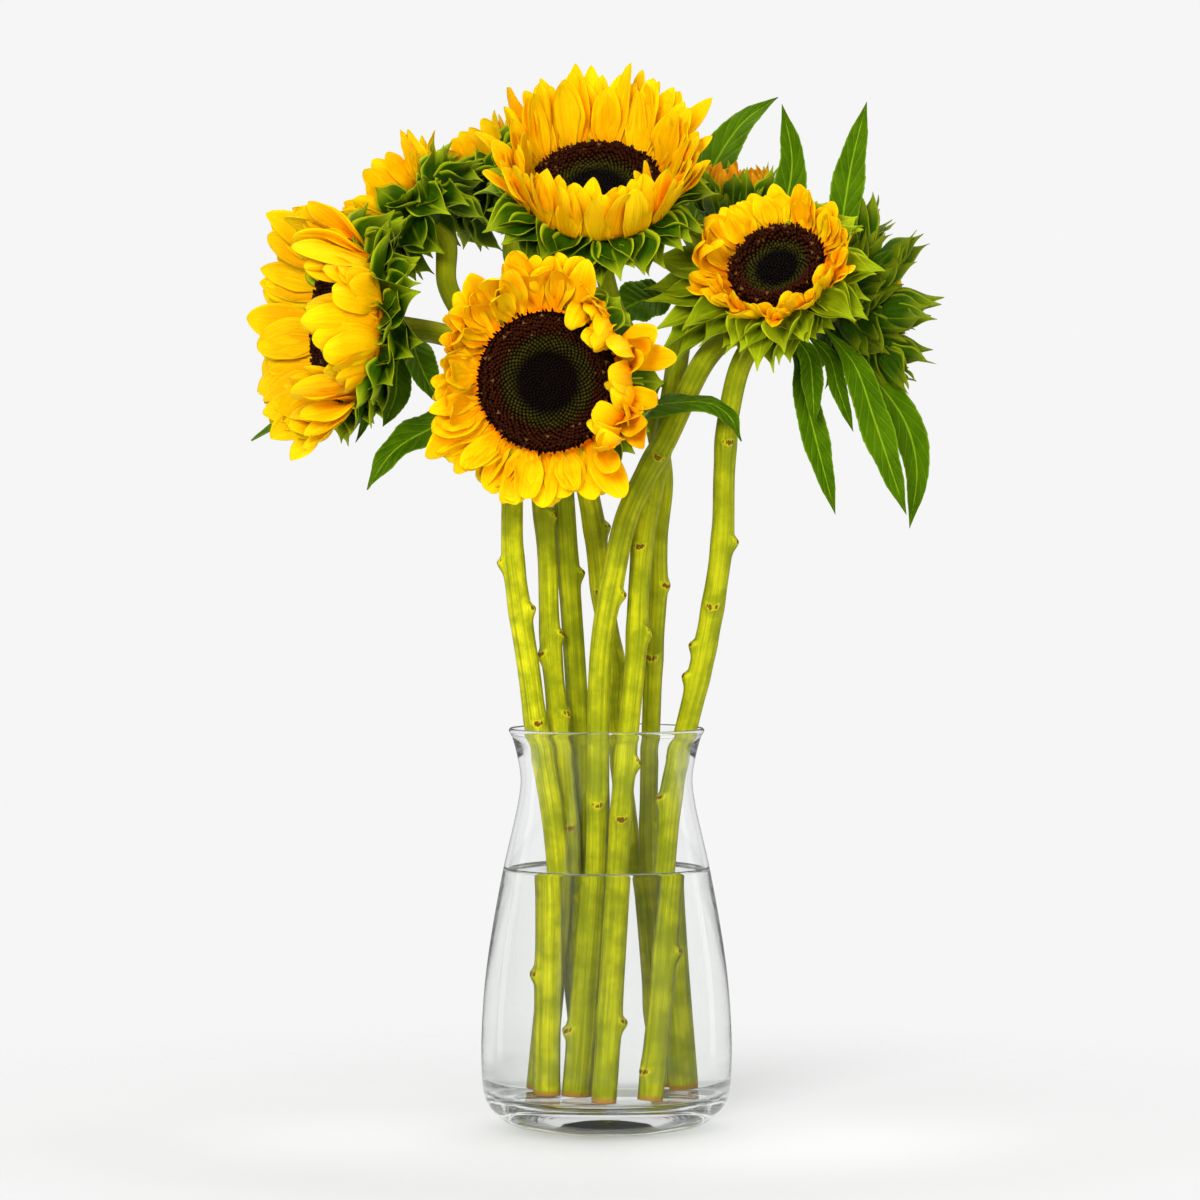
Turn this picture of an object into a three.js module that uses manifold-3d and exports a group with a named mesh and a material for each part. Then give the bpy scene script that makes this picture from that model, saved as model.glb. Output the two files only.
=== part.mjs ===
// Eight cut sunflowers standing in a clear glass vase half filled with water.
// Millimetres, +Z up. The origin is the centre of the flat underside of the vase.

import * as THREE from 'three';
import { mergeVertices } from 'three/addons/utils/BufferGeometryUtils.js';
import Module from 'manifold-3d';

const wasm = await Module();
wasm.setup();

// ---------------------------------------------------------------- driving dimensions

const GAP = 0.3; // clearance kept between touching pieces
const MERGE = 1e-3; // vertices closer than this are one
const DEG = Math.PI / 180;
const UP = new THREE.Vector3(0, 0, 1);

const VASE = {
  segments: 26,
  floor: 17, // top of the thick glass base
  // outer wall from the foot to the rim: radius, height
  outer: [
    [43.5, 0], [56, 2.6], [65.5, 9], [70.8, 18], [72.8, 38], [71.6, 74], [68.4, 103],
    [60.3, 149], [55.1, 172], [51.6, 188], [49.9, 202], [51.6, 215], [54.8, 227],
    [56.8, 231], [56, 232.6],
  ],
  // inner wall from the rim to the floor
  inner: [
    [54.2, 231], [52.2, 227], [49, 215], [47.3, 202], [49, 188], [52.5, 172], [57.7, 149],
    [65.8, 103], [69, 74], [70.1, 46], [67.6, 31], [60, 21], [48, 17],
  ],
};

const WATER = {
  top: 150, // the surface
  topRadius: 57.3,
  wallMargin: 1, // the wall is followed up to this far below the surface
  flatBelow: 40, // up to here the glass curves in under the water, which stands clear upwards too
};

const STEM = {
  sides: 7,
  steps: 16,
  crowding: 1.35, // steps get shorter towards the head, where a stem bends
  scarSides: 5, // a leaf scar is a low cone on the stem
  scarLength: 4.2,
  scarRadius: 3.4,
  scarSunk: 1.6,
  hole: 0.35, // clearance of the hole in the water
  straight: 11, // length below the cup where a stem already points along the head's axis
  tilt: 0.35, // allowed for the slant of an end that isn't quite square to its seat
};

const BLOOM = {
  depth: 24, // the calyx hangs this far below the disc
  ringInner: 0.8, // of the disc radius
  ringBase: -5.6,
  ringOuter: 0.8, // past the disc radius
  cupOuter: 0.3,
  cupWall: 4.2, // height of the upper wall of the cup
  neck: 1.2, // the cup is this much wider than the stem at its foot
  bowlShare: 0.56, // of the rim radius, where the bowl widens out
  bowlStep: 1, // and at least this much wider than the neck
  bowlHeight: -20,
  bossSlack: 0.4, // clearance of the boss that fills the hole of the ring
  fewest: 9, // fewest facets of a ring, which set how far its hole closes in
  spineSteps: 24,
};

// rise: length over which a blade bends up to its lift; drop: degrees by which each lower row is
// flatter; cup: how far the edges lift, as a share of half the width; stations and widths: shares
// of the length, and of the full width there; series: which draws a blade takes.
const BLADES = {
  petals: {
    thickness: 1.2, rise: 7, drop: 11, cup: 0.22, series: 0,
    stations: [0, 0.36, 0.8], widths: [0.28, 0.96, 0.86],
  },
  bracts: {
    thickness: 1.3, rise: 9, drop: 13, cup: 0.3, series: 5,
    stations: [0, 0.3, 0.68], widths: [0.5, 1, 0.4],
  },
};

// how unlike each other the blades of a head are, and how many series of draws a head has
const VARIETY = { azimuth: 22, lift: 4, curl: 6, length: 0.08, width: 0.08, skew: 0.1, series: 10 };

const DISC = {
  large: 25, // radius above which a disc has more spokes and rings
  largeSpokes: 20,
  smallSpokes: 14,
  largeRings: [0.96, 0.8, 0.56, 0.28], // shares of the radius
  smallRings: [0.93, 0.6],
  footInset: 0.9,
  shoulderInset: 0.3,
  shoulder: 2.2,
  level: 2.6, // the dome starts here and rises by the crest in a half wave from the rim inwards
  crest: 4.4,
  waves: 2.2,
  start: 0.12,
  middle: 3.6,
  relief: 0.55, // height of the florets
  tolerance: 0.05,
};

const LEAF = {
  thickness: 1.2,
  stations: [0, 0.08, 0.2, 0.34, 0.48, 0.61, 0.73, 0.84, 0.93],
  widths: [0.15, 0.13, 0.46, 0.86, 0.94, 1, 0.76, 0.56, 0.24],
  lifts: [0, 0, 1, -1, 1, -1, 1, -1, 0], // the waved edge goes up and down in turn
  wave: 0.9,
  stalk: 3.5, // the narrow foot goes straight out this far
  stalkRings: 2, // rings of the foot, which aren't folded
};

// ---------------------------------------------------------------- colours

function paint(color, roughness, metalness = 0) {
  return new THREE.MeshStandardMaterial({ color, roughness, metalness });
}

const GLASS = paint(0xdfe6e4, 0.03);
const WATER_PAINT = paint(0xcfdcd6, 0.05);
const STEM_GREEN = paint(0x8fa32a, 0.55);
const LEAF_GREEN = paint(0x2f6b16, 0.42);
const BRACT_GREEN = paint(0x6f9a26, 0.5);
const PETAL_YELLOW = paint(0xffb60a, 0.6);
const PETAL_ORANGE = paint(0xd98a1c, 0.65);
const DISC_BROWN = paint(0x2a140c, 0.85);

// ---------------------------------------------------------------- small helpers

// a repeatable draw between 0 and 1 for item i of series k
function wobble(i, k) {
  const value = Math.sin(i * 12.9898 + k * 78.233) * 43758.5453;
  return value - Math.floor(value);
}

function spread(i, k) {
  return 2 * wobble(i, k) - 1;
}

function vec(list) {
  return new THREE.Vector3(list[0], list[1], list[2]);
}

function signedVolume(position, index) {
  const a = new THREE.Vector3();
  const b = new THREE.Vector3();
  const c = new THREE.Vector3();
  let sum = 0;
  for (let i = 0; i < index.length; i += 3) {
    a.fromBufferAttribute(position, index[i]);
    b.fromBufferAttribute(position, index[i + 1]);
    c.fromBufferAttribute(position, index[i + 2]);
    sum += a.dot(b.cross(c)) / 6;
  }
  return sum;
}

// a closed geometry as a solid: shared vertices merged, collapsed triangles dropped, faces outward
function solidFrom(source) {
  let geometry = source.clone();
  geometry.deleteAttribute('normal');
  geometry.deleteAttribute('uv');
  geometry = mergeVertices(geometry, MERGE);
  const raw = Array.from(geometry.index.array);
  const kept = [];
  for (let i = 0; i < raw.length; i += 3) {
    const [a, b, c] = [raw[i], raw[i + 1], raw[i + 2]];
    if (a !== b && b !== c && a !== c) {
      kept.push(a, b, c);
    }
  }
  const position = geometry.getAttribute('position');
  if (signedVolume(position, kept) < 0) {
    for (let i = 0; i < kept.length; i += 3) {
      [kept[i + 1], kept[i + 2]] = [kept[i + 2], kept[i + 1]];
    }
  }
  const mesh = new wasm.Mesh({
    numProp: 3,
    vertProperties: new Float32Array(position.array),
    triVerts: new Uint32Array(kept),
  });
  return new wasm.Manifold(mesh);
}

function namedMesh(name, solid, material) {
  const data = solid.getMesh();
  const geometry = new THREE.BufferGeometry();
  geometry.setAttribute('position', new THREE.BufferAttribute(data.vertProperties, 3));
  geometry.setIndex(new THREE.BufferAttribute(data.triVerts, 1));
  geometry.computeVertexNormals();
  const mesh = new THREE.Mesh(geometry, material);
  mesh.name = name;
  return mesh;
}

function lathe(profile, segments) {
  const turned = new THREE.LatheGeometry(profile.map(([r, z]) => new THREE.Vector2(r, z)), segments);
  turned.rotateX(Math.PI / 2);
  return turned;
}

// ---------------------------------------------------------------- blades: petals, bracts, leaves

// Rings of four points (left edge, upper ridge, right edge, lower ridge) joined along a spine from
// point number first on, and ended by a pointed tip. Both faces are split along the same diagonals.
function bladeFaces(first, ringCount) {
  const index = [];
  for (let s = 0; s + 1 < ringCount; s += 1) {
    for (let k = 0; k < 4; k += 1) {
      const a = first + 4 * s + k;
      const b = first + 4 * s + ((k + 1) % 4);
      if (k % 2 === 0) {
        index.push(a, a + 4, b + 4, a, b + 4, b);
      } else {
        index.push(a, a + 4, b, b, a + 4, b + 4);
      }
    }
  }
  const last = first + 4 * (ringCount - 1);
  for (let k = 0; k < 4; k += 1) {
    index.push(last + k, last + 4, last + ((k + 1) % 4));
  }
  return index;
}

function sectionRing(centre, side, normal, half, crease, leftLift, rightLift) {
  return [
    centre.clone().addScaledVector(side, -half).addScaledVector(normal, leftLift),
    centre.clone().addScaledVector(normal, crease),
    centre.clone().addScaledVector(side, half).addScaledVector(normal, rightLift),
    centre.clone().addScaledVector(normal, -crease),
  ];
}

function surface(points, index) {
  const geometry = new THREE.BufferGeometry();
  geometry.setFromPoints(points);
  geometry.setIndex(index);
  return geometry;
}

// The spine of a petal or bract in the plane of its azimuth: it leaves the wall at its start angle,
// bends up to its lift, then curls on by the square of the way along. Heights and radii are in the
// frame of the bloom.
function spineAt(spec, fraction) {
  const step = (spec.length * fraction) / BLOOM.spineSteps;
  const bend = (way) => {
    const risen = Math.min(1, way / spec.rise);
    return spec.start * (1 - risen) + spec.lift * risen + spec.curl * (way / spec.length) ** 2;
  };
  let radius = spec.rootRadius;
  let height = spec.rootHeight;
  for (let i = 0; i < BLOOM.spineSteps; i += 1) {
    const angle = bend(step * (i + 0.5)) * DEG;
    radius += step * Math.cos(angle);
    height += step * Math.sin(angle);
  }
  return { radius, height, angle: bend(spec.length * fraction) * DEG };
}

// The rings of a petal or bract. The first lies flat in the wall facet that carries it.
function headBlade(spec) {
  const wallOut = new THREE.Vector3(Math.cos(spec.facet), Math.sin(spec.facet), 0);
  const wallSide = new THREE.Vector3(-wallOut.y, wallOut.x, 0);
  const out = new THREE.Vector3(Math.cos(spec.azimuth), Math.sin(spec.azimuth), 0);
  const side = new THREE.Vector3(-out.y, out.x, 0);
  const root = wallOut.clone().multiplyScalar(spec.rootRadius);
  const place = (fraction) => {
    const at = spineAt(spec, fraction);
    const centre = root.clone().addScaledVector(out, at.radius - spec.rootRadius);
    centre.addScaledVector(UP, at.height);
    centre.addScaledVector(side, spec.skew * spec.length * fraction ** 2);
    const normal = out.clone().multiplyScalar(-Math.sin(at.angle));
    normal.addScaledVector(UP, Math.cos(at.angle));
    return { centre, normal };
  };
  const points = [];
  spec.stations.forEach((fraction, i) => {
    const { centre, normal } = place(fraction);
    const half = (spec.width * spec.widths[i]) / 2;
    const crease = spec.thickness / 2;
    if (i === 0) {
      const rise = wallOut.clone().multiplyScalar(spec.wallSlope[0]).addScaledVector(UP, spec.wallSlope[1]);
      points.push(...sectionRing(centre, wallSide, rise, half, crease, 0, 0));
    } else {
      points.push(...sectionRing(centre, side, normal, half, crease, spec.cup * half, spec.cup * half));
    }
  });
  points.push(place(1).centre);
  return points;
}

// A blade with its root placed on its wall.
function seated(blade, profile, count) {
  const [r0, z0] = profile[blade.wall];
  const [r1, z1] = profile[blade.wall + 1];
  const flat = Math.cos(Math.PI / count);
  const span = Math.hypot((r1 - r0) * flat, z1 - z0);
  return {
    ...blade,
    rootRadius: (r0 + (r1 - r0) * blade.seat) * flat,
    rootHeight: z0 + (z1 - z0) * blade.seat,
    wallSlope: [((r1 - r0) * flat) / span, (z1 - z0) / span],
  };
}

// A turned body of flat facets, one for each blade. A blade springs from the middle of its wall, the
// profile segment that starts at point number wall, and that facet is split around its root.
// The profile runs with the solid on its left and is closed, or starts and ends on the axis.
function crownSolid(profile, blades) {
  const count = blades.length;
  const points = [];
  const index = [];
  const half = Math.PI / count;
  for (let i = 0; i < count; i += 1) {
    const angle = (2 * Math.PI * i) / count - half;
    for (const [r, z] of profile) {
      points.push(new THREE.Vector3(r * Math.cos(angle), r * Math.sin(angle), z));
    }
  }
  for (let i = 0; i < count; i += 1) {
    const left = i * profile.length;
    const right = ((i + 1) % count) * profile.length;
    for (let j = 0; j + 1 < profile.length; j += 1) {
      const [a, b, c, d] = [left + j, right + j, right + j + 1, left + j + 1];
      if (j !== blades[i].wall) {
        index.push(a, b, c, a, c, d);
      } else {
        const l = points.length;
        const [t, r, u] = [l + 1, l + 2, l + 3];
        points.push(...headBlade(seated(blades[i], profile, count)));
        index.push(a, b, u, b, r, u, b, c, r, c, t, r, c, d, t, d, l, t, d, a, l, a, u, l);
        index.push(...bladeFaces(l, blades[i].stations.length));
      }
    }
  }
  return solidFrom(surface(points, index));
}

// ---------------------------------------------------------------- flower heads

// Azimuths are degrees anticlockwise seen from in front of the head, 0 to the right and 90 at the
// top. lift is the angle of a petal from the plane of the disc, curl what it gains to its tip.
// sectors: from, to, added lift, added curl, length factor.
const FLOWERS = {
  flower_1: {
    centre: [-33, -95, 432],
    normal: [-0.1, -0.99, -0.05],
    disc: 40,
    petals: { rows: 2, count: 13, length: 37, width: 20, lift: 20, curl: 2 },
    bracts: { rows: 1, count: 14, length: 31, width: 17, lift: -6, curl: -10 },
    petalSectors: [
      [-58, 62, 26, 62, 1.06], [62, 130, 8, 10, 1.04], [150, 200, 10, 8, 0.85], [225, 300, -6, -16, 0.86],
    ],
    bractSectors: [],
    seed: 1,
  },
  flower_2: {
    centre: [-5, -27, 543],
    normal: [0, -0.68, 0.733],
    disc: 37.5,
    petals: { rows: 2, count: 14, length: 50, width: 18, lift: 58, curl: 6 },
    bracts: { rows: 2, count: 9, length: 32, width: 20, lift: 6, curl: -16 },
    petalSectors: [[215, 325, 26, 8, 0.92], [150, 215, 2, 0, 0.96], [-35, 30, 2, 0, 0.96]],
    bractSectors: [[210, 330, -9, -2, 1]],
    seed: 2,
  },
  flower_3: {
    centre: [98, -40, 497],
    normal: [-0.3, -0.75, 0.55],
    disc: 28.5,
    petals: { rows: 2, count: 11, length: 25, width: 12.5, lift: 44, curl: 12 },
    bracts: { rows: 2, count: 10, length: 31, width: 15, lift: 14, curl: -18 },
    petalSectors: [[150, 205, -10, 105, 1.25], [60, 140, 8, -8, 1.05], [205, 345, 20, 8, 1]],
    bractSectors: [[170, 290, -8, 0, 1.22], [150, 230, 12, 4, 1.12], [20, 120, 4, 0, 0.85]],
    seed: 3,
  },
  flower_4: {
    centre: [-150, -15, 466],
    normal: [-0.9, -0.4, 0.05],
    disc: 43,
    petals: { rows: 2, count: 12, length: 47, width: 24, lift: 50, curl: 2 },
    bracts: { rows: 2, count: 8, length: 28, width: 19, lift: 6, curl: -26 },
    petalSectors: [[-67, 67, 22, 12, 1.05], [130, 230, -6, 0, 1]],
    bractSectors: [[240, 350, 14, 10, 0.9]],
    seed: 4,
  },
  flower_5: {
    centre: [-120, 36, 539],
    normal: [-0.72, 0.1, 0.68],
    disc: 21,
    petals: { rows: 2, count: 6, length: 31, width: 15, lift: 62, curl: 2 },
    bracts: { rows: 2, count: 6, length: 28, width: 16, lift: 34, curl: -12 },
    petalSectors: [],
    bractSectors: [],
    seed: 5,
  },
  flower_6: {
    centre: [-74, 95, 559],
    normal: [-0.68, 0.2, 0.7],
    disc: 20,
    petals: { rows: 2, count: 5, length: 28, width: 15, lift: 60, curl: 2 },
    bracts: { rows: 2, count: 5, length: 27, width: 17, lift: 30, curl: -12 },
    petalSectors: [],
    bractSectors: [],
    seed: 6,
  },
  flower_7: {
    centre: [77, 60, 545],
    normal: [0.05, -0.12, 0.99],
    disc: 14,
    petals: { rows: 1, count: 9, length: 19, width: 8, lift: 74, curl: 20 },
    bracts: { rows: 2, count: 6, length: 27, width: 13, lift: 52, curl: -4 },
    petalSectors: [],
    bractSectors: [],
    seed: 7,
  },
  flower_8: {
    centre: [154, 15, 479],
    normal: [0.9, 0.36, 0.14],
    disc: 31,
    petals: { rows: 1, count: 9, length: 19, width: 12, lift: 84, curl: 48 },
    bracts: { rows: 3, count: 8, length: 34, width: 13, lift: 74, curl: -8 },
    petalSectors: [],
    bractSectors: [],
    seed: 8,
  },
};

function inSector(azimuth, from, to) {
  const turn = (((azimuth - from) % 360) + 360) % 360;
  return turn < to - from;
}

// Where each row of petals or bracts springs: the profile segment, the share of the way along it and
// the angle at which the blade leaves.
const SEATS = {
  petals: [{ wall: 0, seat: 0.7, start: 0 }, { wall: 0, seat: 0.3, start: 0 }],
  bracts: [
    { wall: 3, seat: 0.5, start: 0 },
    { wall: 2, seat: 0.7, start: -40 },
    { wall: 2, seat: 0.16, start: -45 },
  ],
};

// All blades of one kind on a head, one to a facet: neighbours belong to different rows, which are
// rooted one below the other.
function headBlades(flower, kind) {
  const form = BLADES[kind];
  const plan = flower[kind];
  const sectors = kind === 'petals' ? flower.petalSectors : flower.bractSectors;
  const total = plan.rows * plan.count;
  const series = flower.seed * VARIETY.series + form.series;
  const blades = [];
  for (let item = 0; item < total; item += 1) {
    const row = item % plan.rows;
    const facet = (item * 360) / total;
    const azimuth = facet + (VARIETY.azimuth * spread(item, series)) / plan.count;
    let lift = plan.lift - form.drop * row + VARIETY.lift * spread(item, series + 1);
    let curl = plan.curl + VARIETY.curl * spread(item, series + 2);
    let length = plan.length * (1 + VARIETY.length * spread(item, series + 3));
    for (const [from, to, addLift, addCurl, factor] of sectors) {
      if (inSector(azimuth, from, to)) {
        lift += addLift;
        curl += addCurl;
        length *= factor;
      }
    }
    blades.push({
      ...form,
      ...SEATS[kind][row],
      facet: facet * DEG,
      azimuth: azimuth * DEG,
      lift,
      curl,
      length,
      width: plan.width * (1 + VARIETY.width * spread(item, series + 4)),
      skew: VARIETY.skew * spread(item, series + 5),
    });
  }
  return blades;
}

function raySolid(flower) {
  const inner = flower.disc * BLOOM.ringInner;
  const outer = flower.disc + BLOOM.ringOuter;
  const ring = [
    [outer, BLOOM.ringBase], [outer, -GAP], [inner, -GAP], [inner, BLOOM.ringBase],
    [outer, BLOOM.ringBase],
  ];
  return crownSolid(ring, headBlades(flower, 'petals'));
}

// The green cup: a bowl up from the stem, a wall that carries the bracts, a shelf under the ring
// and a boss that fills the ring's hole.
function calyxSolid(flower, stemRadius) {
  const hole = flower.disc * BLOOM.ringInner * Math.cos(Math.PI / BLOOM.fewest) - BLOOM.bossSlack;
  const rim = flower.disc + BLOOM.cupOuter;
  const shelf = BLOOM.ringBase - GAP;
  const neck = stemRadius + BLOOM.neck;
  const bowl = Math.max(rim * BLOOM.bowlShare, neck + BLOOM.bowlStep);
  const cup = [
    [0, -BLOOM.depth], [neck, -BLOOM.depth], [bowl, BLOOM.bowlHeight],
    [rim, shelf - BLOOM.cupWall], [rim, shelf], [hole, shelf], [hole, -GAP], [0, -GAP],
  ];
  return crownSolid(cup, headBlades(flower, 'bracts'));
}

// A low dome with a raised outer band and a dip at the middle; the heads of the florets are a
// relief that goes up and down in turn around the disc and from ring to ring.
function discSolid(flower) {
  const radius = flower.disc;
  const isLarge = radius > DISC.large;
  const spokes = isLarge ? DISC.largeSpokes : DISC.smallSpokes;
  const rings = isLarge ? DISC.largeRings : DISC.smallRings;
  const profile = [[0, 0], [radius - DISC.footInset, 0], [radius - DISC.shoulderInset, DISC.shoulder]];
  for (const share of rings) {
    const phase = Math.min(1, (1 - share) * DISC.waves + DISC.start);
    profile.push([radius * share, DISC.level + DISC.crest * Math.sin(Math.PI * phase)]);
  }
  profile.push([0, DISC.middle]);
  const turned = lathe(profile, spokes);
  const position = turned.getAttribute('position');
  for (let i = 0; i < position.count; i += 1) {
    const r = Math.hypot(position.getX(i), position.getY(i));
    const ring = rings.findIndex((share) => Math.abs(share * radius - r) < DISC.tolerance);
    if (ring >= 0) {
      const angle = Math.atan2(position.getY(i), position.getX(i));
      const relief = DISC.relief * Math.cos((spokes / 2) * angle + Math.PI * ring);
      position.setZ(i, position.getZ(i) + relief);
    }
  }
  return solidFrom(turned);
}

// ---------------------------------------------------------------- stems

// points: the centre line in millimetres from just above the foot up to the head.
// scars: share of the way up, then the direction the scar points in.
const STEMS = {
  stem_1: {
    head: 'flower_1',
    diameter: 12.4,
    points: [
      [23, 38, 18], [15, 31, 150], [9, 24, 202], [4.5, 20, 240], [5.5, 20, 266], [1, 20, 288],
      [-3.5, 18, 316], [-6.5, 14, 344], [-11, 6, 370], [-18, -8, 402], [-26, -36, 426],
    ],
    scars: [[0.7, [0.9, -0.5, 0]], [0.62, [-0.9, -0.5, 0]]],
  },
  stem_2: {
    head: 'flower_2',
    diameter: 11,
    points: [
      [31, 20, 18], [25, 17, 150], [25, 16, 202], [26, 15, 235], [27.5, 14, 277], [29.5, 12, 310],
      [30, 10, 344], [33, 12, 377], [28, 14, 408], [22, 10, 432], [15, 2, 455], [3, -6, 480],
    ],
    scars: [[0.58, [0.9, -0.4, 0]], [0.46, [-0.8, -0.5, 0]]],
  },
  stem_3: {
    head: 'flower_3',
    diameter: 12.6,
    points: [
      [21.5, -30, 18], [33, -18, 150], [38.3, -9, 202], [46, -8, 232], [56.5, -12, 277],
      [62.5, -14, 310], [67, -15, 344], [68, -15, 382], [71, -15, 417], [81, -12, 450],
    ],
    scars: [[0.68, [1, -0.3, 0]], [0.57, [0.3, -1, 0]], [0.5, [-0.9, -0.4, 0]]],
  },
  stem_4: {
    head: 'flower_4',
    diameter: 12.8,
    points: [
      [-27, -5, 18], [-28, -11, 150], [-34, -11, 202], [-41, -10, 236], [-45, -9, 266],
      [-50, -8, 299], [-54.5, -6, 335], [-55, -4, 377], [-58, -4, 405], [-67, -4, 437],
      [-88, -4, 458],
    ],
    scars: [[0.62, [-1, -0.3, 0]], [0.53, [0.9, -0.5, 0]], [0.43, [-0.9, -0.4, 0]]],
  },
  stem_5: {
    head: 'flower_5',
    diameter: 11.6,
    points: [
      [-26.5, 20, 18], [-21, 4, 150], [-24.5, 3, 202], [-28, 2, 236], [-33, 4, 288],
      [-34.5, 6, 332], [-38, 8, 366], [-44, 11, 405], [-59, 18, 443], [-80, 24, 467],
      [-93, 26, 490],
    ],
    scars: [[0.52, [-0.8, -0.6, 0]], [0.41, [-0.4, -0.9, 0]]],
  },
  stem_6: {
    head: 'flower_6',
    diameter: 12.8,
    points: [
      [-6, 18, 18], [-15, 21, 150], [-15.5, 20, 202], [-16.5, 18, 235], [-19, 16, 277],
      [-22, 15, 321], [-25, 15, 366], [-28, 20, 405], [-36, 38, 448], [-45, 60, 484],
      [-55, 76, 512],
    ],
    scars: [[0.53, [0.9, -0.5, 0]]],
  },
  stem_7: {
    head: 'flower_7',
    diameter: 12.4,
    points: [
      [-1.5, -38, 18], [6, -32, 150], [9.5, -28, 202], [13, -24, 237], [17, -18, 278],
      [18.5, -14, 311], [21.5, -11, 344], [27, -10, 373], [34, -5, 405], [39, 5, 431],
      [44, 22, 461], [55, 46, 494],
    ],
    scars: [[0.55, [0.9, -0.5, 0]], [0.42, [0.9, -0.4, 0]]],
  },
  stem_8: {
    head: 'flower_8',
    diameter: 13,
    points: [
      [-14, -10, 18], [-6, -17, 150], [-5, -22, 202], [-4.5, -26, 256], [-2, -27, 289],
      [4, -28, 322], [11.5, -28, 355], [24, -27, 382], [34, -24, 400], [58.5, -8, 448],
      [80, 5, 466], [104, 9, 471],
    ],
    scars: [[0.47, [0.7, -0.7, 0]], [0.59, [0.6, -0.8, 0]]],
  },
};

function headFrame(flower) {
  const normal = vec(flower.normal).normalize();
  const top = UP.clone().addScaledVector(normal, -UP.dot(normal)).normalize();
  const right = top.clone().cross(normal);
  const basis = new THREE.Matrix4().makeBasis(right, top, normal);
  return { normal, turn: new THREE.Quaternion().setFromRotationMatrix(basis) };
}

// A centre line whose equal steps are long at the foot and short at the head.
class CrowdedCurve extends THREE.Curve {
  constructor(base) {
    super();
    this.base = base;
  }

  getPointAt(share, target) {
    return this.base.getPointAt(1 - (1 - share) ** STEM.crowding, target);
  }

  getTangentAt(share, target) {
    return this.base.getTangentAt(1 - (1 - share) ** STEM.crowding, target);
  }
}

// The centre line of a stem: its foot stands clear of the vase floor by the gap and its top stops
// the same gap below the cup of its head, pointing along the head's axis.
function stemCurve(stem) {
  const flower = FLOWERS[stem.head];
  const { normal } = headFrame(flower);
  const radius = stem.diameter / 2;
  const line = stem.points.map(vec);
  const foot = line[0];
  const leaning = line[1].clone().sub(foot).normalize();
  foot.z = VASE.floor + GAP + radius * Math.sqrt(1 - leaning.z ** 2) + STEM.tilt;
  const centre = vec(flower.centre);
  line.push(centre.clone().addScaledVector(normal, -BLOOM.depth - STEM.straight));
  line.push(centre.clone().addScaledVector(normal, -BLOOM.depth - GAP - STEM.tilt));
  return new CrowdedCurve(new THREE.CatmullRomCurve3(line, false, 'centripetal'));
}

// The axis of the faceted stem and its direction, at a share of the steps.
function axisAt(curve, share) {
  const step = Math.min(Math.floor(share * STEM.steps), STEM.steps - 1);
  const from = curve.getPointAt(step / STEM.steps);
  const to = curve.getPointAt((step + 1) / STEM.steps);
  const point = from.clone().lerp(to, share * STEM.steps - step);
  return { point, along: to.sub(from).normalize() };
}

// The share of the steps at which a stem is this much of its length from the foot.
function shareOf(length) {
  return 1 - (1 - length) ** (1 / STEM.crowding);
}

function rodSolid(curve, radius) {
  const outline = new THREE.Shape();
  for (let i = 0; i < STEM.sides; i += 1) {
    const angle = (2 * Math.PI * i) / STEM.sides;
    const x = radius * Math.cos(angle);
    const y = radius * Math.sin(angle);
    if (i === 0) {
      outline.moveTo(x, y);
    } else {
      outline.lineTo(x, y);
    }
  }
  outline.closePath();
  const options = { steps: STEM.steps, bevelEnabled: false, extrudePath: curve };
  return solidFrom(new THREE.ExtrudeGeometry(outline, options));
}

function stemSolid(stem, curve) {
  const radius = stem.diameter / 2;
  let solid = rodSolid(curve, radius);
  for (const [length, direction] of stem.scars) {
    const { point, along } = axisAt(curve, shareOf(length));
    const out = vec(direction).addScaledVector(along, -vec(direction).dot(along)).normalize();
    const cone = new THREE.ConeGeometry(STEM.scarRadius, STEM.scarLength, STEM.scarSides);
    cone.applyQuaternion(new THREE.Quaternion().setFromUnitVectors(new THREE.Vector3(0, 1, 0), out));
    point.addScaledVector(out, radius - STEM.scarSunk + STEM.scarLength / 2);
    cone.translate(point.x, point.y, point.z);
    solid = solid.add(solidFrom(cone));
  }
  return solid;
}

// ---------------------------------------------------------------- leaves

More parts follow.
